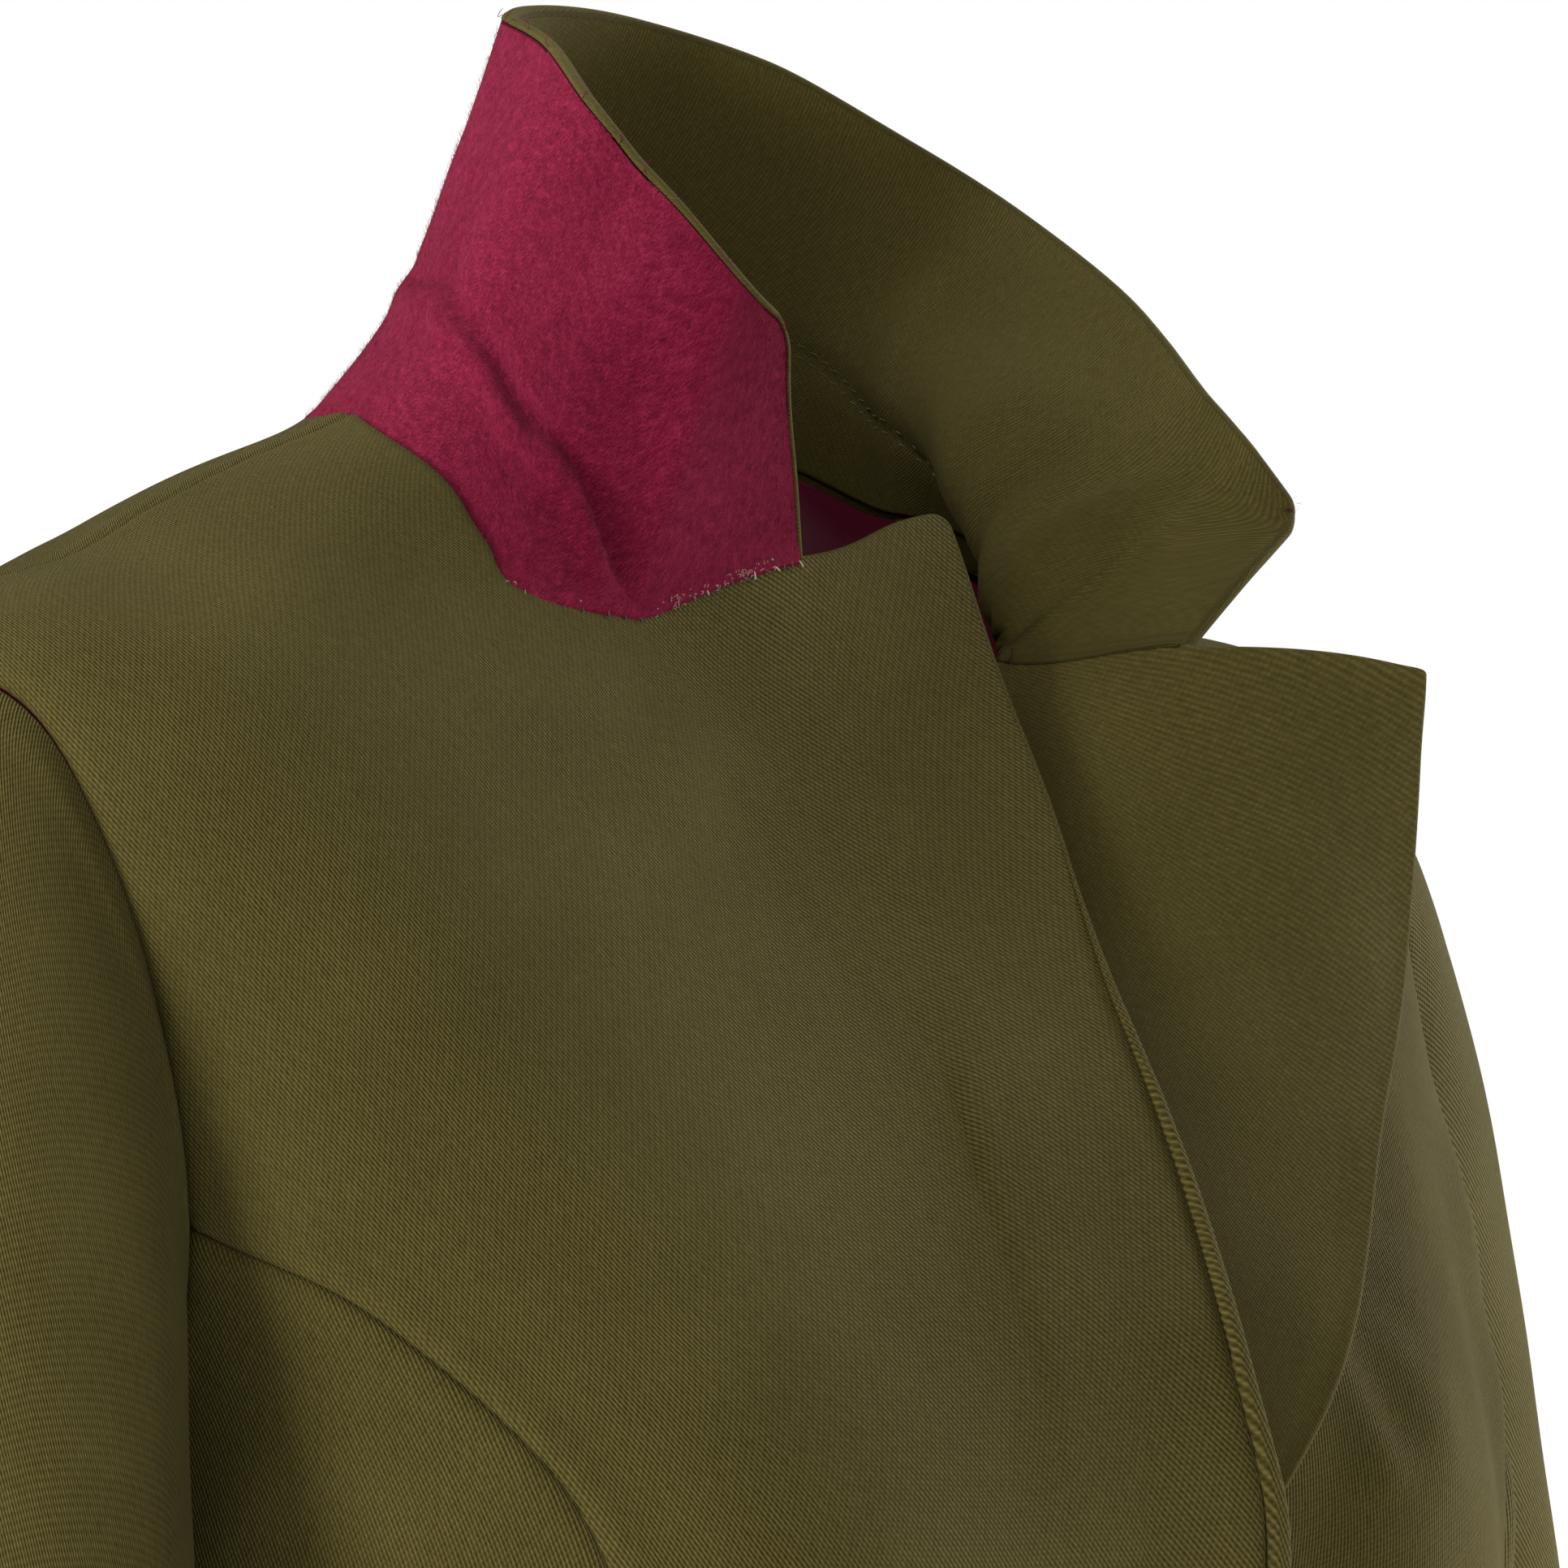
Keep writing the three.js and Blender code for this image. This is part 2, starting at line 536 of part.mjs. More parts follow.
// A sleeve runs from the armhole over the cap to the first ring of the arm, then down.
function sleeveGrid(side, arm, from, to, drop) {
  const centre = new THREE.Vector3();
  for (let i = 0; i < ARMHOLE.length; i += 1) {
    const [a, l] = ARMHOLE[i];
    centre.add(body(a * side, l, drop));
  }
  centre.divideScalar(ARMHOLE.length);
  const ring = (turn, at) => {
    const [z, x, y, inward, outward, forward, backward] = spline(arm, at);
    const a = THREE.MathUtils.degToRad(turn);
    const c = Math.cos(a);
    const s = Math.sin(a);
    const dx = c * (c > 0 ? outward : inward);
    const dy = -s * (s > 0 ? forward : backward);
    return new THREE.Vector3(side * (x + dx), y + dy, z - dx * 0.06 + dy * 0.12);
  };
  const turns = [...ARM_TURN, ARM_TURN[0] + 360, ARM_TURN[1] + 360].map((v) => [v]);
  const columns = steps((at) => {
    const [a, l] = armhole(at % ARMHOLE.length);
    const start = body(a * side, l, drop);
    const turn = spline([[ARM_TURN[ARM_TURN.length - 1] - 360], ...turns],
      (at % ARMHOLE.length) + 1)[0];
    const out = start.clone().sub(centre);
    out.x = 0;
    out.normalize();
    const top = smooth((out.z + 0.35) / 1.1);
    const leave = lay(a * side, l, 1, drop).sub(start).multiplyScalar(0.95);
    leave.add(new THREE.Vector3(0, Math.min(0, out.y) * 0.6, -0.3)).multiplyScalar(1 - top);
    leave.add(new THREE.Vector3(side * 0.65, out.y * 0.5, -0.5).multiplyScalar(top));
    leave.normalize();
    const end = ring(turn, 0);
    const reach = end.distanceTo(start);
    const down = ring(turn, 0.2).sub(end).normalize();
    start.addScaledVector(leave, SLEEVE_LIFT);
    const push = leave.clone().multiplyScalar(reach * 0.45);
    const pull = down.clone().multiplyScalar(reach * 0.9);
    const cap = steps((t) => {
      const tt = t * t;
      const ttt = tt * t;
      return start.clone().multiplyScalar(2 * ttt - 3 * tt + 1)
        .addScaledVector(push, ttt - 2 * tt + t)
        .addScaledVector(end, 3 * tt - 2 * ttt)
        .addScaledVector(pull, ttt - tt);
    }, 0, 1, 6);
    return [...cap, ...steps((t) => ring(turn, t), 0, arm.length - 1, 9).slice(1)];
  }, from, to, Math.round((to - from) * 2));
  return columns;
}

function sleeve(name, side, arm, from, to, drop) {
  const axis = (p) => new THREE.Vector3(p.x - side * 200, p.y - (arm[0][2] + arm[5][2]) / 2, 0);
  const flat = sheet([sleeveGrid(side, arm, from, to, drop)]);
  return wall(name, OLIVE, flat, -SLEEVE_CLOTH / 2, SLEEVE_CLOTH / 2, axis);
}

// A flat round button with four holes, standing just clear of the right front.
function button(name, level) {
  const disc = new THREE.Shape();
  disc.absarc(0, 0, BUTTON_RADIUS, 0, Math.PI * 2, false);
  for (const [i, j] of [[1, 1], [-1, 1], [-1, -1], [1, -1]]) {
    const hole = new THREE.Path();
    hole.absarc(i * BUTTON_HOLE_REACH, j * BUTTON_HOLE_REACH, BUTTON_HOLE_RADIUS, 0, Math.PI * 2, true);
    disc.holes.push(hole);
  }
  const shape = new THREE.ExtrudeGeometry(disc, {
    depth: BUTTON_THICK, bevelEnabled: false, curveSegments: 10,
  });
  const front = (a, l) => lay(a, l, 2.6 * (a + 10) / 19.6);
  const across = front(4, level).sub(front(-4, level));
  const up = front(0, level + 0.12).sub(front(0, level - 0.12));
  const out = across.cross(up).normalize();
  const seat = front(0, level).addScaledVector(out, half + 1.1);
  const turn = new THREE.Quaternion().setFromUnitVectors(new THREE.Vector3(0, 0, 1), out);
  shape.applyQuaternion(turn);
  shape.translate(seat.x, seat.y, seat.z);
  const mesh = new THREE.Mesh(shape, new THREE.MeshStandardMaterial(HORN));
  mesh.name = name;
  return mesh;
}

const group = new THREE.Group();
const backEnd = ARMHOLE.length + SLEEVE_FRONT_AT;
const low = LAYER_GAP / 2;
const high = LAYER_GAP / 2 + COLLAR_LAYER;
group.add(
  rightFront(),
  sideFront('right_side_front', -1, 0),
  leftFront(),
  sideFront('left_side_front', 1, LEFT_DROP),
  leftLapel(),
  back('right_back', -1, 0),
  back('left_back', 1, LEFT_DROP),
  backLining(),
  collar('under_collar', FELT, low, high, FELT_LIFT),
  collar('upper_collar', OLIVE, -high, -low, UPPER_LIFT),
  sleeve('right_upper_sleeve', -1, RIGHT_ARM, SLEEVE_BACK_AT, backEnd, 0),
  sleeve('right_under_sleeve', -1, RIGHT_ARM, SLEEVE_FRONT_AT, SLEEVE_BACK_AT, 0),
  sleeve('left_upper_sleeve', 1, LEFT_ARM, SLEEVE_BACK_AT, backEnd, LEFT_DROP),
  sleeve('left_under_sleeve', 1, LEFT_ARM, SLEEVE_FRONT_AT, SLEEVE_BACK_AT, LEFT_DROP),
  button('upper_button', BUTTON_LEVELS[0]),
  button('lower_button', BUTTON_LEVELS[1]),
);

export default group;
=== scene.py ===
# %% [markdown]
# # A blazer with its collar turned up
#
# This lesson dresses a plain model of a tailored blazer. Each panel is a surface that a
# function works out on a grid, and each one becomes a thin closed wall of cloth with its
# seams, its rolled edges and its weave. The sizes in the tables are in millimetres.

# %% Load the frame
import bpy
import numpy as np
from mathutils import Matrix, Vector


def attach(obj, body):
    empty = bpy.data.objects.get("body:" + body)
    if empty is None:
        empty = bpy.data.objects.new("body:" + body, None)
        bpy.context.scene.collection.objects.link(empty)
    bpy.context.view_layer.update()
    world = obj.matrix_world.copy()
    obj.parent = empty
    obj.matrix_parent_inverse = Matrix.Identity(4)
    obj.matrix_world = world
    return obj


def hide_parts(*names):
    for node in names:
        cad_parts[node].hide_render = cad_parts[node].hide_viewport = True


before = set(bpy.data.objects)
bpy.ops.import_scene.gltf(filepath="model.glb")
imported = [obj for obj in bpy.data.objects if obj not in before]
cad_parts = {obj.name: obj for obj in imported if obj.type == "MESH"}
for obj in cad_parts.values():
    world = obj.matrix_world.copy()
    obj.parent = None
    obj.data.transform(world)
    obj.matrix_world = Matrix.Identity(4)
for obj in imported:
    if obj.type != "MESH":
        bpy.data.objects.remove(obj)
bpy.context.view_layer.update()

# %% [markdown]
# ## The camera, the light and the floor
#
# The blazer is seen from the front and a little to its right, from slightly below, with a
# long lens. The sizes of the view are worked out in pixels of a square picture 1932 wide:
# one millimetre near the neck is 6.28 pixels. Big soft panels stand on both sides, as in a
# product studio, so the sleeve and the far chest are bright and the hollow neck is dark.

# %% Camera
PICTURE = 1932
PIXELS_PER_MM = 6.28
DISTANCE = 1750.0
AZIMUTH, ELEVATION = -42.0, -5.0
NECK_PIXEL = np.array([785.5, 547.1])

az, el = np.radians(AZIMUTH), np.radians(ELEVATION)
back_way = np.array([np.sin(az) * np.cos(el), -np.cos(az) * np.cos(el), np.sin(el)])
right_way = np.cross(-back_way, [0, 0, 1])
right_way /= np.linalg.norm(right_way)
up_way = np.cross(right_way, -back_way)
centre = PICTURE / 2 - NECK_PIXEL
aim = -back_way * PIXELS_PER_MM * DISTANCE + right_way * centre[0] - up_way * centre[1]

camera = bpy.data.objects.new("camera", bpy.data.cameras.new("camera"))
bpy.context.collection.objects.link(camera)
camera.location = back_way * DISTANCE / 1000
camera.rotation_mode = "QUATERNION"
camera.rotation_quaternion = Vector(aim).to_track_quat("-Z", "Y")
camera.data.sensor_width = 36
camera.data.lens = 36 * PIXELS_PER_MM * DISTANCE / PICTURE
camera.data.clip_start, camera.data.clip_end = 0.05, 50
bpy.context.scene.camera = camera
bpy.context.scene.view_settings.view_transform = "Standard"
bpy.context.scene.view_settings.look = "None"
print("lens", round(camera.data.lens, 1), "mm")


# %% Lights
def softbox(name, place, target, size, power):
    """A square panel of light at `place`, turned to face `target`; sizes in metres."""
    data = bpy.data.lights.new(name, "AREA")
    data.shape, data.size, data.energy = "SQUARE", size, power
    lamp = bpy.data.objects.new(name, data)
    lamp.location = place
    lamp.rotation_mode = "QUATERNION"
    way = Vector(target) - Vector(place)
    lamp.rotation_quaternion = way.to_track_quat("-Z", "Y")
    bpy.context.collection.objects.link(lamp)


softbox("light_right_side", (-2.4, 0.05, 0.34), (-0.1, 0, -0.2), 0.8, 49)
softbox("light_left_side", (2.3, -0.3, 0.8), (0.1, 0, -0.2), 1.2, 80)
softbox("light_front", (-0.9, -2.6, 1.0), (0, 0, -0.2), 1.6, 9)
softbox("light_behind", (-1.1, 1.2, 2.0), (0, 0, -0.1), 1.4, 68)

# The camera sees the world plain white, and the cloth gets a quarter of that light.
SEEN_WORLD, CAST_WORLD = 1.0, 0.25
world = bpy.data.worlds.new("studio")
bpy.context.scene.world = world
world.use_nodes = True
sky = world.node_tree
sky.nodes.clear()
out = sky.nodes.new("ShaderNodeOutputWorld")
mix = sky.nodes.new("ShaderNodeMixShader")
path = sky.nodes.new("ShaderNodeLightPath")
sky.links.new(path.outputs["Is Camera Ray"], mix.inputs[0])
for socket, strength in ((1, CAST_WORLD), (2, SEEN_WORLD)):
    glow = sky.nodes.new("ShaderNodeBackground")
    glow.inputs["Color"].default_value = (1, 1, 1, 1)
    glow.inputs["Strength"].default_value = strength
    sky.links.new(glow.outputs[0], mix.inputs[socket])
sky.links.new(mix.outputs[0], out.inputs[0])

# %% [markdown]
# ## The body that the panels lie on
#
# A tailor drapes cloth on a dress form. Here the form is a stack of egg-shaped rings, and
# a smooth curve runs through them from the hem to the neck. Every panel is then drawn on
# it as lines of (angle, level): the angle goes round from the front, the level up the rings.

# %% Curves through tables
def smooth(v):
    """0 below 0, 1 above 1, and 3v² − 2v³ between."""
    c = np.clip(v, 0, 1)
    return c * c * (3 - 2 * c)


def hermite(b, c, m, n, f):
    """The cubic from b to c with slopes m and n, at the share f of the way."""
    ff, fff = f * f, f * f * f
    return ((2 * fff - 3 * ff + 1) * b + (fff - 2 * ff + f) * m
            + (3 * ff - 2 * fff) * c + (fff - ff) * n)


def curve(rows, at):
    """A smooth curve through evenly spaced rows; each slope is half the step from the row
    before to the row after."""
    rows = np.asarray(rows, float)
    last = len(rows) - 1
    t = np.clip(np.asarray(at, float), 0, last)
    i = np.minimum(t.astype(int), last - 1)
    b, c = rows[i], rows[i + 1]
    a = np.where((i > 0)[..., None], rows[np.maximum(i - 1, 0)], 2 * b - c)
    d = np.where((i + 2 <= last)[..., None], rows[np.minimum(i + 2, last)], 2 * c - b)
    return hermite(b, c, (c - a) / 2, (d - b) / 2, (t - i)[..., None])


def placed(rows, at):
    """The same through rows whose first column says where each one stands."""
    rows = np.asarray(rows, float)
    last = len(rows) - 1
    t = np.clip(np.asarray(at, float), rows[0, 0], rows[-1, 0])
    i = np.clip(np.searchsorted(rows[:, 0], t, side="left") - 1, 0, last - 1)
    span = (rows[i + 1, 0] - rows[i, 0])[..., None]
    j = np.arange(last + 1)
    lo, hi = np.maximum(j - 1, 0), np.minimum(j + 1, last)
    slope = (rows[hi, 1:] - rows[lo, 1:]) / (rows[hi, 0] - rows[lo, 0])[:, None]
    f = (t - rows[i, 0])[..., None] / span
    return hermite(rows[i, 1:], rows[i + 1, 1:], slope[i] * span, slope[i + 1] * span, f)


def unit(v):
    """Vectors made one long."""
    return v / np.maximum(np.linalg.norm(v, axis=-1, keepdims=True), 1e-9)


# %% The form
RINGS = [
    # front z, side z, back z, half width, front depth, back depth, middle y,
    # front power, back power
    (-610, -610, -610, 178, 114, 114, 6, 2.4, 2.4),
    (-516, -516, -516, 170, 110, 108, 5, 2.4, 2.4),
    (-442, -442, -442, 148, 106, 90, 4, 2.5, 2.3),
    (-368, -368, -368, 132, 106, 76, 2, 2.6, 2.3),
    (-304, -304, -304, 142, 120, 76, 0, 2.8, 2.3),
    (-235, -235, -235, 154, 134, 80, 0, 3.1, 2.4),
    (-189, -186, -186, 159, 132, 84, 2, 3.1, 2.4),
    (-138, -115, -124, 168, 109, 82, 4, 2.9, 2.4),
    (-92, -49, -57, 181, 76, 74, 4, 2.4, 2.3),
    (-57, -22, -20, 126, 56, 65, 2, 2.3, 2.2),
    (-24, 0, 12, 72, 46, 55, 0, 2.3, 1.9),
    (-2, 20, 32, 62, 40, 47, 0, 2.3, 1.9),
]
FIRST_STEP = RINGS[1][0] - RINGS[0][0]
BUST_X, BUST_Z, BUST_HEIGHT, BUST_WIDE, BUST_ABOVE, BUST_BELOW = 80, -240, 12, 38, 54, 44
LEFT_DROP = 10      # how far the left of the neck hangs lower, mm


def body(angle, level, drop=0.0):
    """A point on the form. In each ring the radius r answers
    (|r sin a| / half)^p + (|r cos a| / depth)^p = 1, and the height goes from the side's
    to the front's or back's with cos² a. Two soft bumps fill the bust, and `drop` pulls
    the left of the neck down."""
    angle, level = np.broadcast_arrays(np.asarray(angle, float), np.asarray(level, float))
    ring = np.moveaxis(curve(RINGS, level), -1, 0)
    front_z, side_z, back_z, half, front, back, middle, front_p, back_p = ring
    a = np.radians(angle)
    s, c = np.sin(a), np.cos(a)
    power = np.where(c > 0, front_p, back_p)
    depth = np.where(c > 0, front + middle, back - middle)
    r = ((np.abs(s) / half) ** power + (np.abs(c) / depth) ** power) ** (-1 / power)
    x, y = r * s, middle - r * c
    z = side_z + np.where(c > 0, front_z - side_z, back_z - side_z) * c * c
    z = z - drop * smooth((32 - y) / 32) * smooth((x + 20) / 80) * smooth((level - 8) / 2)
    up, side = z - BUST_Z, (np.abs(x) - BUST_X) / BUST_WIDE
    tall = np.where(up > 0, BUST_ABOVE, BUST_BELOW)
    y = y - (BUST_HEIGHT * np.exp(-side ** 2 / 2 - (up / tall) ** 2 / 2)
             * np.clip(c * 2.2, 0, 1))
    return np.stack([x, y, z], -1)


def outward(angle, level, drop=0.0):
    """The form's own outward direction: the cross product of its two slopes."""
    a = body(angle + 0.5, level, drop) - body(angle - 0.5, level, drop)
    b = body(angle, level + 0.02, drop) - body(angle, level - 0.02, drop)
    return unit(np.cross(a, b))


def lay(angle, level, lift=0.0, drop=0.0):
    """A point lifted straight off the form."""
    lift = np.asarray(lift, float)[..., None]
    return body(angle, level, drop) + outward(angle, level, drop) * lift


# %% Cloth sizes on the form
# Round the form and up it, measured along the cloth from the middle of the front and from
# the hem. The weave is drawn in these sizes. One table entry a degree, and 20 a level.
ANGLES, LEVELS = np.arange(-200.0, 201.0), np.linspace(0, 11, 221)
net = body(ANGLES[None], LEVELS[:, None])
round_it = np.cumsum(np.linalg.norm(np.diff(net, axis=1), axis=-1), 1)
round_it = np.pad(round_it, ((0, 0), (1, 0)))
round_it -= round_it[:, 200:201]
up_it = np.pad(np.cumsum(np.linalg.norm(np.diff(net, axis=0), axis=-1), 0), ((1, 0), (0, 0)))


def cloth_size(angle, level):
    """(across, up) in mm along the form, read between the entries of the two tables."""
    a, l = np.clip(angle + 200, 0, 399.99), np.clip(level * 20, 0, 219.99)
    i, j = a.astype(int), l.astype(int)
    f, g = a - i, l - j
    pair = []
    for table in (round_it, up_it):
        low = table[j, i] * (1 - f) + table[j, i + 1] * f
        high = table[j + 1, i] * (1 - f) + table[j + 1, i + 1] * f
        pair.append(low * (1 - g) + high * g)
    return pair


print("hem round", round(float(round_it[0, 380] - round_it[0, 20])), "mm, waist",
      round(float(round_it[60, 380] - round_it[60, 20])), "mm")

# %% [markdown]
# ## From a surface to a wall of cloth
#
# Real cloth has two faces and an edge. A wall is made from a surface by moving its points
# half the thickness out and half in, and by closing the open border with a rounded strip.
# Where cloth is turned over at an edge it is thicker, so thickness is given point by point.

# %% A wall of cloth
RIM = 6             # steps round the half circle of an edge
SEAM_SLIT = 0.06    # half the open line left between two pieces at a seam, mm
SEAM_ROLL = 0.4     # how far the edge rounds at a seam; a free edge has 1
CLOTH = 1.35        # one layer of twill, mm
TURNED = 2.6        # twill turned under at a hem or a cuff
EDGE_IN = 1.3       # a grid stops this far inside a hem, and its round edge fills the rest


def closed_wall(patches):
    """Joins patches that share points, and wraps them in a closed skin.
    Each patch is a dictionary of grids: points, out (rough outward direction), size (the
    two cloth sizes), thick and roll (1 at a rolled edge, less at a seam). Steady patches
    keep `out` as their normals, so that a step on one face leaves the other one smooth.
    Skin: outer = p + n·t/2, inner = p − n·t/2, and on the border a half circle between."""
    points = np.concatenate([q["points"].reshape(-1, 3) for q in patches])
    size = np.concatenate([q["size"].reshape(-1, 2) for q in patches])
    thick = np.concatenate([q["thick"].ravel() for q in patches])
    roll = np.concatenate([q["roll"].ravel() for q in patches])
    key = np.round(points * 200).astype(np.int64)
    _, first, same = np.unique(key, axis=0, return_index=True, return_inverse=True)
    same = same.ravel()
    faces, start = [], 0
    for q in patches:
        grid = q["points"]
        rows, cols = grid.shape[:2]
        ids = same[start:start + rows * cols].reshape(rows, cols)
        start += rows * cols
        a, b, c, d = ids[:-1, :-1], ids[:-1, 1:], ids[1:, 1:], ids[1:, :-1]
        across, up = grid[:-1, 1:] - grid[:-1, :-1], grid[1:, :-1] - grid[:-1, :-1]
        if np.sum(np.cross(across, up) * q["out"][:-1, :-1]) < 0:
            b, d = d, b
        faces += [np.stack([a, b, c], -1).reshape(-1, 3), np.stack([a, c, d], -1).reshape(-1, 3)]
    faces = np.concatenate(faces)
    a, b, c = faces.T
    faces, p = faces[(a != b) & (b != c) & (a != c)], points[first]
    size, thick, roll = size[first], thick[first], roll[first]
    n = normals(p, faces)
    if patches[0]["steady"]:
        n = unit(np.concatenate([q["out"].reshape(-1, 3) for q in patches])[first])
    ring, turned = border(faces)
    along = p[turned] - p[ring]
    sideways = np.zeros_like(p)
    np.add.at(sideways, ring, unit(np.cross(along, n[ring])))
    np.add.at(sideways, turned, unit(np.cross(along, n[turned])))
    sideways = unit(sideways)
    rim_ids = np.unique(ring)
    slit = np.where(roll[rim_ids] < 1, SEAM_SLIT + roll[rim_ids] * thick[rim_ids] / 2, 0)
    p[rim_ids] -= sideways[rim_ids] * slit[:, None]
    half = thick[:, None] / 2
    count, rims = len(p), len(rim_ids)
    place = np.zeros(count, int)
    place[rim_ids] = np.arange(rims)
    skin, sizes = [p + n * half, p - n * half], [size, size]
    for k in range(1, RIM):
        turn = np.pi / 2 - np.pi * k / RIM
        r = half[rim_ids]
        skin.append(p[rim_ids] + n[rim_ids] * r * np.sin(turn)
                    + sideways[rim_ids] * r * np.cos(turn) * roll[rim_ids, None])
        run = thick[rim_ids] * np.pi / 2 * k / RIM
        sizes.append(size[rim_ids] + np.stack([run, run * 0.3], -1))
    tops = [np.arange(count)]
    tops += [2 * count + (k - 1) * rims + place for k in range(1, RIM)]
    tops.append(count + np.arange(count))
    shell = [faces, faces[:, ::-1] + count]
    for above, below in zip(tops[:-1], tops[1:]):
        shell.append(np.stack([above[turned], above[ring], below[ring]], -1))
        shell.append(np.stack([above[turned], below[ring], below[turned]], -1))
    return np.concatenate(skin), np.concatenate(shell), np.concatenate(sizes)


def normals(p, faces):
    """Point normals: the sum of the cross products of the faces round each point."""
    n = np.cross(p[faces[:, 1]] - p[faces[:, 0]], p[faces[:, 2]] - p[faces[:, 0]])
    total = np.zeros_like(p)
    for k in range(3):
        for axis in range(3):
            total[:, axis] += np.bincount(faces[:, k], n[:, axis], len(p))
    return unit(total)


def border(faces):
    """Edges that no second face runs back along, as two lists of end points."""
    start, end = faces.ravel(), np.roll(faces, -1, axis=1).ravel()
    big = int(faces.max()) + 1
    lone = ~np.isin(start * big + end, end * big + start)
    return start[lone], end[lone]


def mesh_piece(name, points, faces, sizes, material, slot, nodes=()):
    """Puts arrays in mm into a mesh in metres. The cloth sizes go into its UV map."""
    mesh = bpy.data.meshes.new(name)
    mesh.vertices.add(len(points))
    mesh.vertices.foreach_set("co", (points / 1000).astype(np.float32).ravel())
    mesh.loops.add(faces.size)
    mesh.loops.foreach_set("vertex_index", faces.ravel().astype(np.int32))
    mesh.polygons.add(len(faces))
    mesh.polygons.foreach_set("loop_start", np.arange(0, faces.size, 3, dtype=np.int32))
    mesh.polygons.foreach_set("use_smooth", np.ones(len(faces), bool))
    mesh.update(calc_edges=True)
    layer = mesh.uv_layers.new(name="Cloth")
    layer.data.foreach_set("uv", sizes[faces.ravel()].astype(np.float32).ravel())
    mesh.materials.append(material)
    piece = bpy.data.objects.new(name, mesh)
    bpy.context.collection.objects.link(piece)
    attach(piece, "root")
    if nodes:
        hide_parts(*nodes)
    return piece


def measured(patches):
    """The area of the surface in square metres: half the cross product of each square's
    two diagonals, added up."""
    area = 0.0
    for q in patches:
        p = q["points"]
        a, b = p[1:, 1:] - p[:-1, :-1], p[1:, :-1] - p[:-1, 1:]
        area += np.linalg.norm(np.cross(a, b), axis=-1).sum() / 2
    return area / 1e6


def cloth(name, patches, material, slot="twill", nodes=()):
    """A wall of cloth; the area of its surface in square metres and its count of triangles are
    printed.
    """
    piece = mesh_piece(name, *closed_wall(patches), material, slot, nodes)
    print(name, round(measured(patches), 4), "square metres,",
          len(piece.data.polygons), "triangles")


# %% [markdown]
# ## Grids, edges and creases
#
# Seams and rolled edges are only one or two millimetres wide, so the lines of a grid crowd
# together near its borders. A seam is a shallow valley, since the cloth turns in there. A
# turned edge is a soft band with a line of stitching just inside it.

# %% Grids
def crowded(cells, start=0.0, end=0.0):
    """Numbers from 0 to 1 whose steps shrink by `start` and `end` at the two ends."""
    s = np.linspace(0, 1, cells + 1)
    low = np.sin(np.pi * s) / np.pi
    both = np.sin(2 * np.pi * s) / (2 * np.pi)
    shared = min(start, end)
    return s - both * shared - low * (start - shared) + low * (end - shared)


def fill(bottom, top, left, right, u, v):
    """Fills four border lines, each a function of a share from 0 to 1: the blend across,
    plus the blend up, less what the corners give to both."""
    low_left, low_right, top_left, top_right = bottom(0.0), bottom(1.0), top(0.0), top(1.0)
    across, up = u[..., None], v[..., None]
    return ((1 - up) * bottom(u) + up * top(u) + (1 - across) * left(v) + across * right(v)
            - (1 - across) * (1 - up) * low_left - across * (1 - up) * low_right
            - (1 - across) * up * top_left - across * up * top_right)


def between(a, b):
    """The straight line from a to b, as a function of a share."""
    a, b = np.asarray(a, float), np.asarray(b, float)
    return lambda t: a + (b - a) * np.asarray(t, float)[..., None]


def round_off(u, v, wide, high, radius):
    """Rounds the corner at u = v = 1. With the ways a and b to the two sides in mm, the
    square of side `radius` there is drawn onto a quarter disc."""
    a, b = (1 - u) * wide, (1 - v) * high
    p, q = np.clip(radius - a, 0, None), np.clip(radius - b, 0, None)
    pull = np.maximum(p, q) / np.maximum(np.hypot(p, q), 1e-9)
    both = (p > 0) & (q > 0)
    a, b = np.where(both, radius - p * pull, a), np.where(both, radius - q * pull, b)
    return 1 - a / wide, 1 - b / high


def flat_rows(rows):
    """(angle, level) rows with a lift of 0 added."""
    return np.concatenate([rows, np.zeros((*np.shape(rows)[:-1], 1))], -1)


def border_ways(points):
    """How far each point of a grid is from its left, right, bottom and top border, in mm."""
    across = np.linalg.norm(np.diff(points, axis=1), axis=-1)
    up = np.linalg.norm(np.diff(points, axis=0), axis=-1)
    left = np.pad(np.cumsum(across, 1), ((0, 0), (1, 0)))
    low = np.pad(np.cumsum(up, 0), ((1, 0), (0, 0)))
    return left, left[:, -1:] - left, low, low[-1:] - low


def seam_valley(away, depth, width):
    """The cloth turns in at a seam, and its pressed allowance lifts it just beyond:
    −depth · exp(−(away / width)²), and a low bell 4.2 mm from the seam."""
    return -depth * np.exp(-(away / width) ** 2) + 0.22 * np.exp(-((away - 4.2) / 2.6) ** 2)


def turned_edge(away, band, full=TURNED):
    """Thickness near a turned edge: full in the band, one layer beyond, and between them
    a groove 0.8 mm deep, where the stitching pulls."""
    groove = 0.8 * np.exp(-((away - band - 0.5) / 0.45) ** 2)
    return CLOTH + (full - CLOTH) * (1 - smooth((away - band + 0.3) / 0.8)) - groove


def rolls(shape, *free):
    """How far each border rounds: wholly on the free sides, which are named, and a little
    on the others, which are seams."""
    borders = {"bottom": np.s_[0], "top": np.s_[-1], "left": np.s_[:, 0], "right": np.s_[:, -1]}
    roll = np.full(shape, SEAM_ROLL)
    for side in free:
        roll[borders[side]] = 1
    return roll


